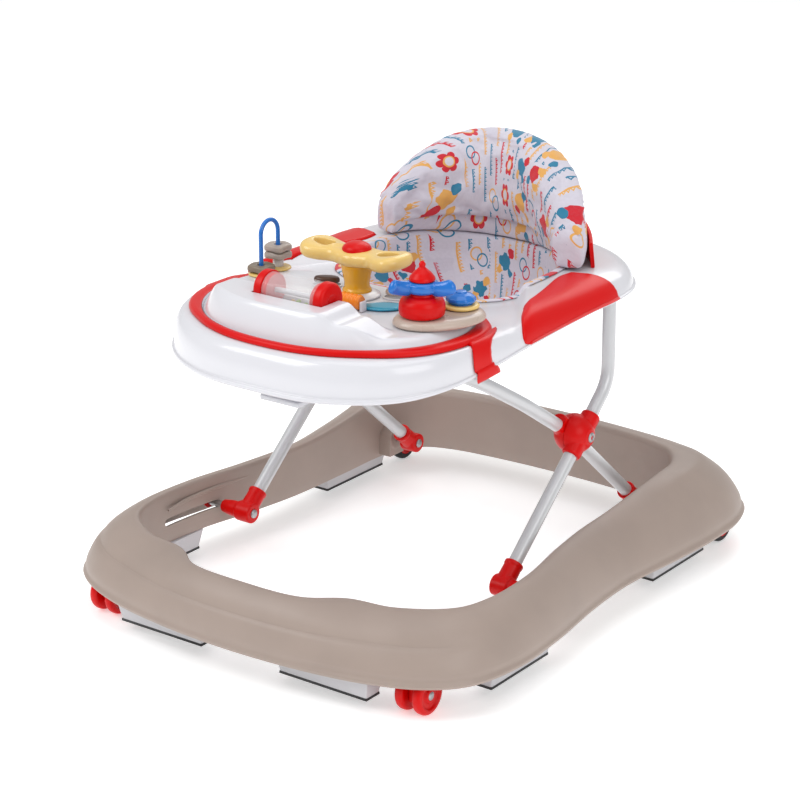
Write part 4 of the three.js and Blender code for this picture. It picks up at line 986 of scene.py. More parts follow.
def makeTray():
    shell = makePiece("trayShell", trayShell(), finishes["white"], "ring", "white_plastic", ["tray_shell"],
                      crease=180)
    well = turnedMesh([(0, -49), (21.2, -49), (21.2, 49), (0, 49)], "x",
                      (rattle["x"], rattle["y"], rattle["z"]), 64)
    cutAway(shell, well)
    dressed(shell, finishes["white"], "ring", "white_plastic", crease=42)
    width, height, low = tray["trimWidth"], tray["trimHeight"], tray["low"]
    centre = Vector((*tray["centre"], 0))
    profile = roundCorners([(width / 2, low), (0, low), (0, low + 3), (1.5, low + height - 1),
                            (5, low + height), (width, low + height - 0.6), (width, low), (width / 2, low)],
                            1.2, 3)
    sections = []
    for p in mirroredOutline(tray["outline"], 240):
        inward = (centre - p).normalized()
        spread = 1 + 0.95 * ease(105, 165, abs(p.x)) * (1 - ease(-100, -60, p.y))
        sections.append([p + inward * (width - (width - a) * spread) + Vector((0, 0, z))
                         for a, z in profile[:-1]])
    makePiece("trayTrim", bandMesh(sections), finishes["red"], "ring", "red_plastic", ["tray_trim"],
              crease=50)
    for name, side in sides.items():
        strap = ringPatch((strapShape["front"], strapShape["rear"]), strapPlace, strapShape["thick"], side,
                          count=28, rows=44)
        makePiece("trayStrap_" + name, strap, finishes["red"], "ring", "red_plastic", crease=60)
    mark = boxMesh((-124, -198, 377), (-114, -189, 381.6))
    makePiece("trayMark", mark, finishes["red"], "ring", "red_plastic", bevel=0.5)


makeTray()
print("tray made")


# ---- toys ----
toySeat = tray["floor"] + tray["gap"]
bowlTop = toySeat + 10
toys = {
    "steering": (0, -112, 425), "tower": (122, -156), "knob": (139, -107), "bowl": (131, -136, 54, 38, 62),
    "arch": (-138, -82, -113, 441), "propellerZ": bowlTop + 26.8, "roller": (27, -158, 8.5, 14),
    "darkKey": (-50, -103), "lightKey": (44.5, -93.5),
}


def ellipsePlate(x, y, long, short, turn, profile, count=96):
    # rounded plate over an ellipse; profile is (inset, height)
    sections = []
    for inset, z in profile:
        ring = []
        for k in range(count):
            a = 2 * math.pi * k / count
            spot = Vector(((long - inset) * math.cos(a), (short - inset) * math.sin(a), z))
            ring.append(Matrix.Rotation(turn, 3, "Z") @ spot + Vector((x, y, 0)))
        sections.append(ring)
    return stackMesh(sections)


def makeRattle():
    r, half, centre = rattle["radius"], rattle["half"], (rattle["x"], rattle["y"], rattle["z"])
    barrel = [(r - 1.2 + 1.2 * math.cos(math.pi * k / 24 - math.pi / 2), half * (k / 12 - 1))
              for k in range(25)]
    inside = [(radius - 1.5, along) for radius, along in reversed(barrel)]
    makePiece("rattleDrum", turnedMesh([*barrel, *inside, barrel[0]], "x", centre, 96), finishes["clear"],
              "rattle", "clear_plastic", ["rattle_drum"])
    cap = roundCorners([(0, half - 6), (r - 2.2, half - 6), (r - 2.2, half + 0.4), (r + 0.6, half + 0.4),
                        (r + 0.6, half + 9), (r - 2, half + 12), (8, half + 12), (6, half + 11),
                        (0, half + 11)], 1.0, 3)
    for name, side in sides.items():
        shape = turnedMesh(cap, "x", (0, 0, 0), 72)
        shape = shape if side > 0 else mirrored(shape)
        makePiece("rattleCap_" + name, moved(shape, Matrix.Translation(centre)), finishes["red"], "rattle",
                  "red_plastic", ["rattle_cap_" + name])
    core = [(0, -half - 2), (3.0, -half - 2), (3.0, half + 2), (0, half + 2)]
    makePiece("rattleCore", turnedMesh(core, "x", centre, 32), finishes["white"], "rattle", "white_plastic")
    draw = random.Random(4)
    colours = ["red", "yellow", "blue", "green", "orange"]
    for k in range(22):
        angle = -math.pi / 2 + draw.uniform(-0.62, 0.62)
        reach = r - 5.2 - draw.uniform(0, 2.4)
        spot = (centre[0] + draw.uniform(-half + 8, half - 8), centre[1] + reach * math.cos(angle),
                centre[2] + reach * math.sin(angle))
        ball = turnedMesh([(2.5 * math.sin(math.pi * j / 10), -2.5 * math.cos(math.pi * j / 10))
                           for j in range(11)], "x", spot, 16)
        makePiece(f"rattleBead_{k}", ball, finishes[colours[k % 5]], "rattle", "orange_plastic")


def makeSteering():
    x, y, z = toys["steering"]
    column = [(0, toySeat), (17, toySeat), (16.5, toySeat + 8), (14.5, toySeat + 10), (14.2, toySeat + 16),
              (18, z - 12), (18, z - 7), (0, z - 7)]
    makePiece("steeringColumn", turnedMesh(roundCorners(column, 2, 4), "z", (x, y, 0), 72),
              finishes["darkYellow"], "ring", "dark_yellow_plastic", ["steering_column"])
    collar = [(0, toySeat + 0.2), (27, toySeat + 0.2), (27, toySeat + 2), (22, toySeat + 4.6),
              (17.6, toySeat + 5.6), (17.2, toySeat + 5.6), (0, toySeat + 5.6)]
    makePiece("steeringCollar", turnedMesh(roundCorners(collar, 1.5, 4), "z", (x, y, 0), 72),
              finishes["white"], "ring", "white_plastic")
    half = [(0, -22), (14, -21), (26, -19), (40, -26), (56, -28), (67, -18), (70, 0), (66, 16), (54, 25),
            (38, 22), (26, 18), (14, 21), (0, 22)]
    rim = [Vector((x + p.x, y + p.y, 0)) for p in mirroredOutline(half, 160)]
    plate = []
    for inset, height in ((7.5, -8.6), (3, -7.2), (0.6, -4), (0, 0), (0.6, 3.4), (3, 6.4), (7.5, 7.8)):
        ring = []
        for k, p in enumerate(rim):
            along = rim[(k + 1) % 160] - rim[k - 1]
            inward = Vector((-along.y, along.x, 0)).normalized() * inset
            ring.append(p + inward + Vector((0, 0, z + height + 0.0016 * (p.x - x) ** 2 * 0.6)))
        plate.append(ring)
    holes = []
    for side in (1, -1):
        # finger hole, a little narrower towards the wheel's tip
        ring = []
        for k in range(48):
            c, s = math.cos(2 * math.pi * k / 48), math.sin(2 * math.pi * k / 48)
            ring.append(Vector((x + side * (45 + 13.5 * c), y - 1 + (9.5 - 1.5 * c) * s, z)))
        holes.append(stackMesh([[p + Vector((0, 0, height)) for p in ring] for height in (-40, 40)]))
    shapes = [stackMesh(plate)]
    hub = roundCorners([(0, z - 9), (18, z - 9), (23, z - 4), (23.5, z + 3), (20, z + 6.6), (17.6, z + 6.6),
                        (17.4, z + 2.2), (0, z + 2.2)], 2.2, 4)
    shapes.append(turnedMesh(hub, "z", (x, y, 0), 64))
    fusedPiece("steeringWheel", shapes, finishes["yellow"], "steering_wheel", "yellow_plastic",
               ["steering_wheel"], voxel=0.9, rounds=12, cuts=holes)
    dome = [(0, z + 5.6), (16.6, z + 5.6), (16.8, z + 9.5), (15, z + 12.6), (11, z + 15.2), (6, z + 16.6),
            (0, z + 17)]
    makePiece("hornButton", turnedMesh(roundCorners(dome, 2.0, 4), "z", (x, y, 0), 64), finishes["red"],
              "horn_button", "red_plastic", ["horn_button"])


def makeBowl():
    x, y, long, short, turn = toys["bowl"]
    profile = [(3, toySeat + 0.2), (0.4, toySeat + 1.6), (0, toySeat + 3), (0.6, toySeat + 5),
               (2.4, toySeat + 7.4), (5.4, toySeat + 9.2), (9, toySeat + 10), (12, toySeat + 10)]
    makePiece("toyBowl", ellipsePlate(x, y, long, short, math.radians(turn), profile), finishes["bowl"],
              "ring", "bowl_plastic", ["toy_bowl"], crease=60)
    z = bowlTop + 0.4
    tower = [(0, 0), (22, 0), (25, 2), (25.6, 8), (25.2, 14.5), (23, 19), (18.6, 22.4), (14.6, 23.6),
             (14, 26), (3, 26), (3, 44), (0, 44)]
    tower = [(r, h + z) for r, h in tower]
    makePiece("propellerTower", turnedMesh(roundCorners(tower, 1.6, 4), "z", (*toys["tower"], 0), 72),
              finishes["red"], "ring", "red_plastic", ["propeller_tower"])
    makePropeller()
    x, y = toys["knob"]
    ring = [(0, 0), (18, 0), (20.5, 1), (20.6, 3), (18.5, 4.6), (14, 4.8), (0, 4.8)]
    makePiece("knobRing", turnedMesh(roundCorners([(r, h + z) for r, h in ring], 1, 3), "z", (x, y, 0), 64),
              finishes["yellow"], "turning_knob", "yellow_plastic")
    dome = [(0, 4.2), (13.4, 4.2), (13.6, 6.8), (16.6, 7.6), (17.2, 9.4), (16.4, 12), (12, 15), (7, 16.6),
            (6.6, 17.4), (6, 18.6), (0, 18.8)]
    head = turnedMesh(roundCorners([(r, h + z) for r, h in dome], 0.9, 3), "z", (x, y, 0), 72)
    points = []
    for p in head[0]:
        out = Vector((p.x - x, p.y - y, 0))
        angle = math.atan2(out.y, out.x)
        flute = (0.5 - 0.5 * math.cos(10 * angle)) * ease(8, 15, out.length) * ease(z + 7, z + 9, p.z)
        grip = 1 - 0.045 * flute
        points.append(Vector((x + out.x * grip, y + out.y * grip, p.z)))
    makePiece("knobHead", (points, head[1]), finishes["blue"], "turning_knob", "blue_plastic",
              ["turning_knob"])


def bladeRadius(t):
    rounding = 1 if t < 0.9 else math.sqrt(max(0.05, 1 - ((t - 0.9) / 0.1) ** 2))
    return 8.4 * (1 - abs(t * 1.9 - 0.9) ** 6 * 0.55) * rounding


def makePropeller():
    base = toys["propellerZ"]
    x, y = toys["tower"]
    shapes = [turnedMesh(roundCorners([(3.4, 0), (15.5, 0), (18.6, 3), (18.6, 10), (15, 12.6), (3.4, 12.6),
                                       (3.4, 0)], 1.6, 4), "z", (0, 0, 0), 64)]
    for k in range(3):
        route = [Vector(p) for p in ((12, 0, 6), (20, -1.5, 6.2), (28, -2.0, 8), (35, -0.5, 10.6),
                                     (39.5, 2.5, 13))]
        path = curveThrough(route, 24, closed=False)
        blade = tubeMesh(path, bladeRadius, 24, flat=0.58)
        shapes.append(moved(blade, Matrix.Rotation(k * 2 * math.pi / 3 + 0.112, 4, "Z")))
    placed = [moved(s, Matrix.Translation((x, y, base))) for s in shapes]
    fusedPiece("propellerBlades", placed, finishes["blue"], "propeller", "blue_plastic", ["propeller"],
               voxel=0.7, rounds=4)
    cone = [(3.4, 0), (14, 0), (14.6, 1.4), (13.8, 4), (9.6, 9.2), (5, 13), (3.2, 15), (3.9, 17.2), (3.4, 19),
            (2.0, 21), (0, 22)]
    makePiece("propellerCone", turnedMesh(roundCorners([(r, h + base + 13.2) for r, h in cone], 1.0, 3), "z",
                                          (x, y, 0), 64), finishes["red"], "propeller", "red_plastic",
                                          ["propeller_cone"])


# body, finish and slot of each key
toyKeys = {"darkKey": ("dark_key", "brown", "dark_plastic"),
           "lightKey": ("light_key", "bowl", "bowl_plastic")}


def makeSmallToys():
    for name, (body, finish, slot) in toyKeys.items():
        x, y = toys[name]
        z = toySeat + 4
        cap = [(1.4, z), (0.2, z + 1), (0, z + 3), (0.5, z + 5.2), (2, z + 6.8), (4.2, z + 7.2)]
        makePiece(name, ellipsePlate(x, y, 15, 8, 0.5, cap, 64), finishes[finish], body, slot, [body],
                  crease=60)
        rim = [(-2.5, toySeat - 0.2), (-3, toySeat + 0.8), (-2.4, toySeat + 1.6), (-1.2, toySeat + 1.6),
               (-1.0, toySeat - 0.3)]
        makePiece(name + "Seat", ellipsePlate(x, y, 15, 8, 0.5, rim, 64), finishes["white"], "ring",
                  "white_plastic", crease=60)
    x, y, radius, half = toys["roller"]
    profile = [(0, -half)]
    for k in range(81):
        along = half * (k / 40 - 1)
        profile.append((radius - 0.75 + 0.75 * math.cos(along * math.pi * 5 / half), along))
    profile.append((0, half))
    makePiece("ribbedRoller", turnedMesh(profile, "x", (x, y, toySeat + radius + 1.5), 48),
              finishes["orange"], "ribbed_roller", "orange_plastic", ["ribbed_roller"])
    ends = []
    for end in (-1, 1):
        middle = x + end * (half + 2.2)
        ends.append(boxMesh((middle - 1.6, y - 5, toySeat), (middle + 1.6, y + 5, toySeat + 12)))
    makePiece("rollerEnds", together(*ends), finishes["white"], "ring", "white_plastic", bevel=1.2)
    insert = [(10, toySeat - 0.6), (1.5, toySeat + 0.5), (0.4, toySeat + 1.6), (0.6, toySeat + 2.6),
              (2.4, toySeat + 3.4), (6, toySeat + 3.6)]
    points = []
    shape = ellipsePlate(0, 0, 33, 15, 0, insert, 96)
    for p in shape[0]:
        a = math.atan2(p.y / 15, p.x / 33)
        pinch = 1 - 0.16 * math.sin(2 * a) ** 2
        points.append(Vector((p.x * pinch, p.y * pinch, p.z)))
    turned = moved((points, shape[1]), Matrix.Translation((54, -134, 0)) @ Matrix.Rotation(0.64, 4, "Z"))
    makePiece("boatInsert", turned, finishes["turquoise"], "ring", "blue_plastic", crease=60)


beadSizes = {"half": 14, "thick": 8, "bore": 3.8, "wire": 2.6}


def beadShape(x, y, z, wave):
    # rounded square with a wavy edge, threaded on the wire
    half, thick, bore = beadSizes["half"], beadSizes["thick"], beadSizes["bore"]
    sections = []
    for k in range(72):
        a = 2 * math.pi * k / 72
        c, s = math.cos(a), math.sin(a)
        reach = half / (abs(c) ** 4 + abs(s) ** 4) ** 0.25 * 0.98
        rise = wave * math.cos(4 * a)
        ring = []
        for j in range(20):
            b = 2 * math.pi * j / 20
            cb, sb = math.cos(b), math.sin(b)
            across = (bore + reach) / 2 + (reach - bore) / 2 * math.copysign(abs(cb) ** 0.55, cb)
            up = thick / 2 + thick / 2 * math.copysign(abs(sb) ** 0.6, sb) + rise * (across - bore) / (reach
                                                                                                       - bore)
            ring.append(Vector((x + across * c, y + across * s, z + up)))
        sections.append(ring)
    return bandMesh(sections)


def makeArch():
    x, rearY, frontY, top = toys["arch"]
    half, mid = (rearY - frontY) / 2, (rearY + frontY) / 2
    route = [Vector((x, frontY, toySeat + t)) for t in (0, 10, 20, 30)]
    for k in range(25):
        a = math.pi * (1 - k / 24)
        route.append(Vector((x, mid + half * math.cos(a), top - half + half * math.sin(a))))
    route += [Vector((x, rearY, toySeat + t)) for t in (30, 20, 10, 0)]
    makePiece("beadArch", tubeMesh(route, beadSizes["wire"], 20), finishes["blue"], "ring", "blue_wire",
              ["bead_arch"])
    makePiece("beadFront", beadShape(x, frontY, toySeat + 4, 0.5), finishes["darkBead"], "bead_front",
              "dark_plastic", ["bead_front"])
    makePiece("beadRearLow", beadShape(x, rearY, toySeat + 13, 0.6), finishes["bead"], "bead_rear_lower",
              "bowl_plastic", ["bead_rear_lower"])
    makePiece("beadRearHigh", beadShape(x, rearY, toySeat + 21.8, 0.6), finishes["bead"], "bead_rear_upper",
              "bowl_plastic", ["bead_rear_upper"])
    for name, y in (("front", frontY), ("rear", rearY)):
        disc = [(0, 0), (15, 0), (15.4, 1.4), (14, 2.8), (9, 3.2), (0, 3.2)]
        makePiece("archDisc_" + name, turnedMesh(roundCorners([(r, h + toySeat) for r, h in disc], 0.8, 3),
                                                 "z", (x, y, 0), 56), finishes["yellow"], "ring",
                                                 "yellow_plastic")
    stem = [(0, 3), (6.5, 3), (6, 12.4), (0, 12.4)]
    makePiece("archStem", turnedMesh(roundCorners([(r, h + toySeat) for r, h in stem], 0.8, 3), "z",
                                     (x, rearY, 0), 40), finishes["white"], "ring", "white_plastic")


makeRattle()
makeSteering()
makeBowl()
makeSmallToys()
makeArch()
print("toys made")


# ---- printed cloth ----
printColours = {
    "ground": (0.61, 0.585, 0.665), "teal": (0.014, 0.19, 0.33), "red": (0.58, 0.006, 0.02),
    "ochre": (0.74, 0.38, 0.09), "shadow": (0.50, 0.47, 0.56),
}


def printGroup():
    # lines of comb stitches in loose columns, with rings, flowers and blobs in cells between them
    group, wires, into, out = newGroup("nurseryPrint")
    socket(group, "Place", "NodeSocketVector")
    for key in ("ground", "teal", "red", "ochre", "shadow"):
        socket(group, key.title(), "NodeSocketColor", value=(*printColours[key], 1))
    socket(group, "Color", "NodeSocketColor", "OUTPUT")
    maths, below = wires.maths, wires.below
    parts = wires.node("ShaderNodeSeparateXYZ")
    wires.feed(into.outputs["Place"], parts.inputs[0])
    u, v = parts.outputs[0], parts.outputs[1]

    def chance(first, second, seed):
        made = wires.node("ShaderNodeTexWhiteNoise", noise_dimensions="3D")
        joined = wires.node("ShaderNodeCombineXYZ")
        for i, value in enumerate((first, second, seed)):
            wires.feed(value, joined.inputs[i])
        wires.feed(joined.outputs[0], made.inputs["Vector"])
        return made.outputs["Value"]

    def pick(value):
        warm = wires.mix(below(value, 0.62), into.outputs["Ochre"], into.outputs["Red"])
        return wires.mix(below(value, 0.36), warm, into.outputs["Teal"])

    def length(a, b):
        return maths("SQRT", maths("ADD", maths("MULTIPLY", a, a), maths("MULTIPLY", b, b)))

    def both(a, b):
        return maths("MULTIPLY", a, b)
    # stitch columns
    step = 0.0148
    column = maths("FLOOR", maths("DIVIDE", u, step))
    local = maths("SUBTRACT", u, maths("MULTIPLY", maths("ADD", column, 0.5), step))
    dash = maths("ADD", maths("DIVIDE", v, 0.058), maths("MULTIPLY", chance(column, 0.0, 1.0), 7.0))
    cell = maths("FLOOR", dash)
    part = maths("SUBTRACT", dash, cell)
    tooth = maths("PINGPONG", maths("ADD", v, maths("MULTIPLY", u, 0.5)), 0.0024)
    zigzag = maths("SUBTRACT", maths("MULTIPLY", tooth, 1.75), 0.0019)
    comb = maths("MAXIMUM", below(maths("ABSOLUTE", maths("SUBTRACT", local, zigzag)), 0.00125),
                 below(maths("ABSOLUTE", maths("ADD", local, 0.0018)), 0.0011))
    stitched = both(both(comb, below(part, 0.72)), below(chance(column, cell, 2.0), 0.92))
    colour = wires.mix(stitched, into.outputs["Ground"], pick(chance(column, cell, 3.0)))
    # motif cells
    size = 0.047
    cu, cv = maths("FLOOR", maths("DIVIDE", u, size)), maths("FLOOR", maths("DIVIDE", v, size))
    shift = maths("MULTIPLY", maths("SUBTRACT", chance(cu, cv, 4.0), 0.5), 0.012)
    x = maths("SUBTRACT", maths("SUBTRACT", u, maths("MULTIPLY", maths("ADD", cu, 0.5), size)), shift)
    y = maths("ADD", maths("SUBTRACT", v, maths("MULTIPLY", maths("ADD", cv, 0.5), size)), shift)
    kind, tint = chance(cu, cv, 5.0), chance(cu, cv, 6.0)
    radius = length(x, y)
    used = below(kind, 0.82)
    colour = wires.mix(both(used, below(radius, 0.0182)), colour, into.outputs["Ground"])
    # two linked rings
    for side, pickFrom in ((1, 0.2), (-1, 0.5)):
        away = length(maths("ADD", x, side * 0.0048), maths("SUBTRACT", y, side * 0.0042))
        line = below(maths("ABSOLUTE", maths("SUBTRACT", away, 0.0084)), 0.0011)
        shade = pick(maths("FRACT", maths("ADD", tint, pickFrom)))
        colour = wires.mix(both(below(kind, 0.27), line), colour, shade)
    # six-petal flower
    angle = maths("ARCTAN2", y, x)
    lobe = maths("POWER", maths("ABSOLUTE", maths("COSINE", maths("MULTIPLY", angle, 3.0))), 0.6)
    petal = maths("ADD", 0.0092, maths("MULTIPLY", lobe, 0.0052))
    flower = both(below(kind, 0.40), maths("GREATER_THAN", kind, 0.27))
    colour = wires.mix(both(flower, below(radius, petal)), colour, into.outputs["Red"])
    colour = wires.mix(both(flower, below(radius, 0.0078)), colour, into.outputs["Ochre"])
    colour = wires.mix(both(flower, below(radius, 0.0060)), colour, into.outputs["Ground"])
    # clusters of soft blobs
    blob = both(below(kind, 0.82), maths("GREATER_THAN", kind, 0.40))
    wave = maths("MULTIPLY", maths("SUBTRACT", wires.noise(into.outputs["Place"], 90.0, 1.0), 0.5), 0.013)
    for ox, oy, big, turn in ((0.0, 0.001, 0.0128, 0.0), (0.0125, 0.011, 0.0068, 0.45),
                              (-0.0125, -0.010, 0.0064, 0.7), (0.011, -0.0125, 0.0056, 0.2)):
        tall = maths("MULTIPLY", maths("SUBTRACT", y, oy), 1.15)
        away = maths("ADD", length(maths("SUBTRACT", x, ox), tall), wave)
        shade = pick(maths("FRACT", maths("ADD", maths("MULTIPLY", tint, 1.6), turn)))
        colour = wires.mix(both(blob, below(away, big)), colour, shade)
    soft = wires.between(wires.noise(into.outputs["Place"], 34.0, 2.0), 0.54, 0.60)
    ghost = both(both(soft, 0.35), maths("SUBTRACT", 1.0, used))
    wires.feed(wires.mix(ghost, colour, into.outputs["Shadow"]), out.inputs["Color"])
    return group


groups["print"] = printGroup()
clothWrap = {"axisY": 98, "radius": 0.125}


def clothFinish(name, shift=(0.0, 0.0)):
    # cloth wrapped round the seat's upright axis: around it for u, up and inwards for v
    material = bpy.data.materials.new(name)
    material.use_nodes = True
    wires = Wiring(material.node_tree)
    shader = material.node_tree.nodes["Principled BSDF"]
    parts = wires.node("ShaderNodeSeparateXYZ")
    wires.feed(wires.node("ShaderNodeTexCoord").outputs["Object"], parts.inputs[0])
    x = parts.outputs[0]
    y = wires.maths("SUBTRACT", parts.outputs[1], (clothWrap["axisY"] - middleY) * mm)
    around = wires.maths("MULTIPLY", wires.maths("ARCTAN2", x, y), clothWrap["radius"])
    out = wires.maths("SQRT", wires.maths("ADD", wires.maths("MULTIPLY", x, x),
                                          wires.maths("MULTIPLY", y, y)))
    place = wires.node("ShaderNodeCombineXYZ")
    across = wires.maths("ADD", around, wires.maths("MULTIPLY", out, 0.8))
    up = wires.maths("ADD", parts.outputs[2], wires.maths("MULTIPLY", out, 0.6))
    wires.feed(wires.maths("ADD", across, shift[0]), place.inputs[0])
    wires.feed(wires.maths("ADD", up, shift[1]), place.inputs[1])
    figure = wires.node("ShaderNodeGroup", node_tree=groups["print"])
    weave = wires.node("ShaderNodeGroup", node_tree=groups["weave"])
    wires.feed(place.outputs[0], figure.inputs["Place"])
    wires.feed(place.outputs[0], weave.inputs["Place"])
    dust = wires.maths("MULTIPLY", weave.outputs["Shade"], 0.10)
    shade = wires.mix(dust, figure.outputs["Color"], (0.2, 0.19, 0.22, 1))
    wires.feed(shade, shader.inputs["Base Color"])
    shader.inputs["Roughness"].default_value = 0.85
    shader.inputs["Sheen Weight"].default_value = 0.25
    relief = wires.node("ShaderNodeBump")
    relief.inputs["Strength"].default_value = 0.25
    relief.inputs["Distance"].default_value = 0.0004
    wires.feed(weave.outputs["Height"], relief.inputs["Height"])
    wires.feed(relief.outputs[0], shader.inputs["Normal"])
    return material


finishes["print"] = clothFinish("printedCotton")
finishes["rollPrint"] = clothFinish("printedCottonRoll", (0.027, 0.019))
finishes["binding"] = moulded("bindingTape", (0.62, 0.60, 0.68), 0.8, mottle=0.08, wear=0.0, grain=2200.0,
                              bump=0.25)
print("cloth finishes made")


# ---- seat ----
seat = {
    "centre": (0, 82), "thick": 1.4, "folds": 1.6, "leg": (56, 34, 34, 44), "binding": 2.3,
    "profile": [(0, 376.0, 6.4), (0, 376.3, 6.6), (0, 376.6, 4.6), (0, 376.6, 1.6), (0, 375.8, -1),
                (0, 373, -2.8), (0, 364, -4.2), (0, 352, -4.4), (0.06, 329, -3), (0.16, 302, -2),
                (0.3, 279, -1), (0.5, 261, -0.5), (0.8, 251, 0), (0.93, 249.6, 0)],
}


def seatSheet():
    centre = Vector((*seat["centre"], 0))
    profile = curveThrough([Vector(p) for p in seat["profile"]], 64, closed=False)
    outline = mirroredOutline(ringShape["inner"], 200)
    drops = [deckAt(p.y) - ringShape["deck"] for p in mirroredOutline(ringShape["outer"], 200)]
    rows = []
    for share, z, grow in profile:
        row = []
        depth = ease(0.0, 0.1, share) * (1 - ease(0.5, 0.95, share))
        hold = 1 - ease(0.04, 0.3, share)
        for k, p in enumerate(outline):
            a = 2 * math.pi * k / len(outline)
            reach = (p - centre).length * (1 - share) + grow
            fold = math.sin(11 * a + 1.2) + 0.6 * math.sin(19 * a + 12 * share) + 0.4 * math.sin(31 * a)
            fold *= seat["folds"]
            spot = centre + (p - centre).normalized() * (reach - abs(fold) * (0.35 + depth))
            row.append(spot + Vector((0, 0, z + fold * depth * 1.4 + drops[k] * hold)))
        rows.append(row)
    points = [p for row in rows for p in row]
    n = len(outline)
    faces = []
    for i in range(len(rows) - 1):
        for k in range(n):
            m = (k + 1) % n
            faces.append((i * n + k, i * n + m, (i + 1) * n + m, (i + 1) * n + k))
    points.append(Vector((centre.x, centre.y, rows[-1][0].z)))
    last = (len(rows) - 1) * n
    faces += [(last + k, last + (k + 1) % n, len(points) - 1) for k in range(n)]
    return points, faces


def legLoop(side, count=72):
    # the opening's edge, laid on the sheet
    x, y, wide, long = seat["leg"]
    centre = Vector((*seat["centre"], 0))
    outline = mirroredOutline(ringShape["inner"], 720)
    profile = curveThrough([Vector(p) for p in seat["profile"]], 200, closed=False)
    loop = []
    for k in range(count):
        a = 2 * math.pi * k / count
        spot = Vector((side * x + wide * math.cos(a), y + long * math.sin(a), 0))
        away = spot - centre
        edge = max(outline, key=lambda p: (p - centre).normalized().dot(away.normalized()))
        share = 1 - away.length / (edge - centre).length
        z = min(profile, key=lambda p: abs(p.x - share) + (1 if p.y > 352 else 0)).y
        loop.append(spot + Vector((0, 0, z + 0.6)))
    return loop


def makeSeat():
    piece = bpy.data.objects.new("seatSheet", rawMesh("seatSheet", seatSheet()))
    bpy.context.scene.collection.objects.link(piece)
    skin = piece.modifiers.new("cloth", "SOLIDIFY")
    skin.thickness = seat["thick"] * mm
    skin.offset = 0
    applied(piece)
    x, y, wide, long = seat["leg"]
    for side in (1, -1):
        rings = [[Vector((side * x + wide * math.cos(a), y + long * math.sin(a), z))
                  for a in (2 * math.pi * k / 64 for k in range(64))] for z in (180, 330)]
        cutAway(piece, stackMesh(rings))
    dressed(piece, finishes["print"], "ring", "printed_fabric", ["seat_fabric"], crease=70)
    for name, side in sides.items():
        tape = makePiece("legBinding_" + name, loopMesh(legLoop(side), seat["binding"], 12),
                         finishes["binding"], "ring", "printed_fabric")


# ---- backrest ----
back = {"long": 100, "wide": 138, "centreY": 98, "sweep": 1.38, "low": 379.5, "half": 15, "lean": 12}
hem = {"centre": 405, "ends": 388, "reach": 0.975, "front": 16}
stuffing = {"voxel": 5.0, "pressure": 4.0, "limit": 7.0, "frames": 20}


def backSpot(share, outward, z):
    angle = share * back["sweep"]
    x, y = back["wide"] * math.sin(angle), back["centreY"] + back["long"] * math.cos(angle)
    out = Vector((math.sin(angle) / back["wide"], math.cos(angle) / back["long"], 0)).normalized()
    return Vector((x, y, z)) + out * outward


def backTop(share):
    return 404 + 106 * max(math.cos(abs(share) * math.pi / 2), 0) ** 0.66


def leanAt(share, z):
    rise = (z - back["low"]) / max(backTop(share) - back["low"], 1)
    return -back["lean"] * rise * math.cos(share * back["sweep"])


def padShape():
    sections = []
    for i in range(61):
        share = (2 * i / 60 - 1) * 0.995
        top = backTop(share * 0.985)
        rear = back["half"]
        half = rear + 4 * share * share
        keys = [(-half + 5, 0), (-half - 1, 0.08), (-half - 3, 0.4), (-half - 1, 0.8), (-half + 5, 0.95),
                (0, 1), (rear - 5, 0.95), (rear, 0.8), (rear + 1, 0.4), (rear, 0.08), (rear - 5, 0)]
        ring = []
        for p in curveThrough(keys, 44):
            z = back["low"] + p.y * (top - back["low"])
            ring.append(backSpot(share, p.x + leanAt(share, z), z))
        sections.append(ring)
    return stackMesh(sections)


def rollShape():
    sections = []
    for i in range(57):
        t = 2 * i / 56 - 1
        share = t * hem["reach"]
        top = backTop(share * 0.985) + 2
        low = hem["centre"] + (hem["ends"] - hem["centre"]) * t * t
        low = min(low, top - 16)
        puff = hem["front"] * (1 - abs(t) ** 5)
        rise = top - low
        front = -back["half"] - 2
        keys = [(front + 4, low + 2), (front - 0.45 * puff, low), (front - puff, low + 0.16 * rise),
                (front - puff, low + 0.5 * rise), (front - 0.7 * puff, low + 0.8 * rise),
                (front + 2, low + 0.96 * rise), (-2, top + 1), (back["half"] - 2, top - 2),
                (back["half"] + 3, low + 0.84 * rise), (back["half"] - 4, low + 0.76 * rise),
                (front + 14, low + 0.7 * rise), (front + 9, low + 0.2 * rise)]
        ring = [backSpot(share, p.x + leanAt(share, p.y), p.y) for p in curveThrough(keys, 48)]
        sections.append(ring)
    return stackMesh(sections)


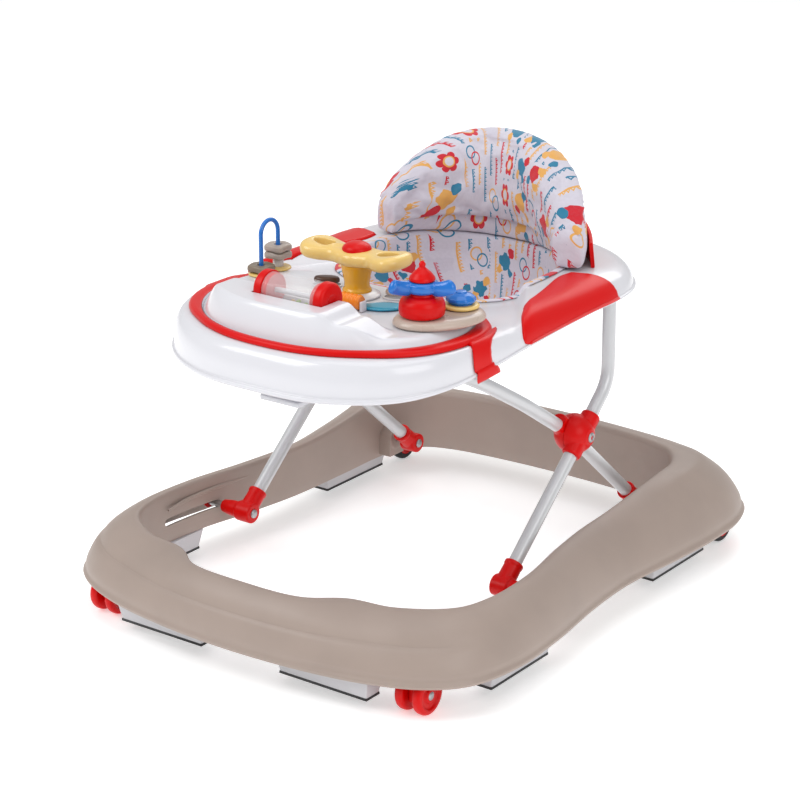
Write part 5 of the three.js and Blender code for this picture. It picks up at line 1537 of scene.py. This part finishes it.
def stuffed(piece, pinned):
    # evens the mesh and lets it swell under pressure between its pinned seams, each point near its start
    remesh = piece.modifiers.new("even", "REMESH")
    remesh.mode = "VOXEL"
    remesh.voxel_size = stuffing["voxel"] * mm
    applied(piece)
    before = [v.co.copy() for v in piece.data.vertices]
    seam = piece.vertex_groups.new(name="seam")
    for v in piece.data.vertices:
        hold = pinned(v.co / mm + Vector((0, middleY, 0)))
        if hold > 0:
            seam.add([v.index], hold, "REPLACE")
    cloth = piece.modifiers.new("stuffing", "CLOTH")
    made = cloth.settings
    made.quality = 5
    made.mass = 0.25
    made.tension_stiffness = made.compression_stiffness = 14
    made.shear_stiffness = 6
    made.bending_stiffness = 0.4
    made.use_pressure = True
    made.uniform_pressure_force = stuffing["pressure"]
    made.shrink_min = -0.035
    made.vertex_group_mass = "seam"
    made.effector_weights.gravity = 0
    cloth.collision_settings.use_collision = False
    for step in range(1, stuffing["frames"] + 1):
        bpy.context.scene.frame_set(step)
    applied(piece)
    bpy.context.scene.frame_set(1)
    limit = stuffing["limit"] * mm
    for v, start in zip(piece.data.vertices, before):
        move = v.co - start
        if move.length > limit:
            v.co = start + move.normalized() * limit
    smooth = piece.modifiers.new("fine", "SUBSURF")
    smooth.levels = smooth.render_levels = 1
    applied(piece)


def shareOf(p):
    return math.atan2(p.x / back["wide"], (p.y - back["centreY"]) / back["long"]) / back["sweep"]


def padSeams(p):
    share = shareOf(p)
    sideSeam = abs(abs(share) - 0.64) * back["wide"] * back["sweep"]
    middleSeam = abs(share) * 400 + 1e3 * (p.z > 430)
    return 1.0 if p.z < back["low"] + 6 or min(sideSeam, middleSeam) < 3.2 else 0.0


def rollSeams(p):
    share = shareOf(p)
    low = hem["centre"] + (hem["ends"] - hem["centre"]) * (share / hem["reach"]) ** 2
    return 1.0 if p.z < low + 4 or abs(p.z - backTop(share * 0.985) - 1) < 2.5 else 0.0


def makeBackrest():
    piece = bpy.data.objects.new("backrestPad", rawMesh("backrestPad", padShape()))
    bpy.context.scene.collection.objects.link(piece)
    stuffed(piece, padSeams)
    dressed(piece, finishes["print"], "ring", "printed_fabric", ["backrest_cushion"], 70)
    roll = bpy.data.objects.new("headRoll", rawMesh("headRoll", rollShape()))
    bpy.context.scene.collection.objects.link(roll)
    stuffed(roll, rollSeams)
    dressed(roll, finishes["rollPrint"], "ring", "printed_fabric", (), 70)
    sections = []
    for i in range(49):
        share = (2 * i / 48 - 1) * 0.86
        low, top = 375.4, 397 + 38 * math.cos(share * math.pi / 2)
        ring = []
        for outward, z in roundCorners([(22, low), (26.5, low), (26.5, top), (22, top), (22, low)], 1.4,
                                       3)[:-1]:
            ring.append(backSpot(share, outward - 12 * (z - low) / 120, z))
        sections.append(ring)
    makePiece("backrestSupport", stackMesh(sections), finishes["red"], "ring", "red_plastic",
              ["backrest_support"], crease=50)


makeSeat()
makeBackrest()
print("seat and backrest made")


# ---- camera, light and floor ----
view = {"turn": 36.38, "rise": 19.55, "distance": 3.0222, "right": -0.0182, "up": 0.2092, "lens": 112.5,
        "sensor": 36}


def makeCamera():
    turn, rise = math.radians(view["turn"]), math.radians(view["rise"])
    right = Vector((math.cos(turn), math.sin(turn), 0))
    back = Vector((math.sin(turn) * math.cos(rise), -math.cos(turn) * math.cos(rise), math.sin(rise)))
    up = back.cross(right)
    camera = bpy.data.objects.new("camera", bpy.data.cameras.new("camera"))
    camera.data.lens, camera.data.sensor_width = view["lens"], view["sensor"]
    camera.data.clip_end = 50
    stand = back * view["distance"] + right * view["right"] + up * view["up"] - Vector((0, middleY * mm, 0))
    camera.matrix_world = Matrix.Translation(stand) @ \
        Matrix((right, up, back)).transposed().to_4x4()
    bpy.context.scene.collection.objects.link(camera)
    bpy.context.scene.camera = camera
    bpy.context.scene.view_settings.view_transform = "Standard"


# strength in watts, size in metres, and where each panel stands
lamps = {
    "key": (34, 1.6, (-1.3, -1.9, 2.3)),
    "side": (15, 1.4, (2.2, -0.8, 1.5)),
    "rear": (16, 1.6, (-0.6, 2.2, 2.1)),
    "top": (20, 2.2, (0.2, 0.0, 3.0)),
}


def makeLight():
    for name, (strength, size, place) in lamps.items():
        lamp = bpy.data.objects.new(name + "Lamp", bpy.data.lights.new(name + "Lamp", "AREA"))
        lamp.data.energy, lamp.data.size = strength, size
        lamp.location = place
        lamp.rotation_euler = (Vector((0, 0, 0.25)) - Vector(place)).to_track_quat("-Z", "Y").to_euler()
        bpy.context.scene.collection.objects.link(lamp)
    world = bpy.data.worlds.new("studio")
    bpy.context.scene.world = world
    world.use_nodes = True
    world.node_tree.nodes["Background"].inputs["Color"].default_value = (1, 1, 1, 1)
    world.node_tree.nodes["Background"].inputs["Strength"].default_value = 0.55


def makeFloor():
    mesh = bpy.data.meshes.new("floor")
    reach = 12
    corners = [(-reach, -reach, 0), (reach, -reach, 0), (reach, reach, 0), (-reach, reach, 0)]
    mesh.from_pydata(corners, [], [(0, 1, 2, 3)])
    floor = bpy.data.objects.new("floor", mesh)
    floor.data.materials.append(moulded("floorPaper", (0.93, 0.93, 0.93), 0.6, mottle=0.0, wear=0.0,
                                        bump=0.0))
    glow = floor.data.materials[0].node_tree.nodes["Principled BSDF"]
    glow.inputs["Emission Color"].default_value = (1, 1, 1, 1)
    glow.inputs["Emission Strength"].default_value = 0.42
    bpy.context.scene.collection.objects.link(floor)


makeCamera()
makeLight()
makeFloor()
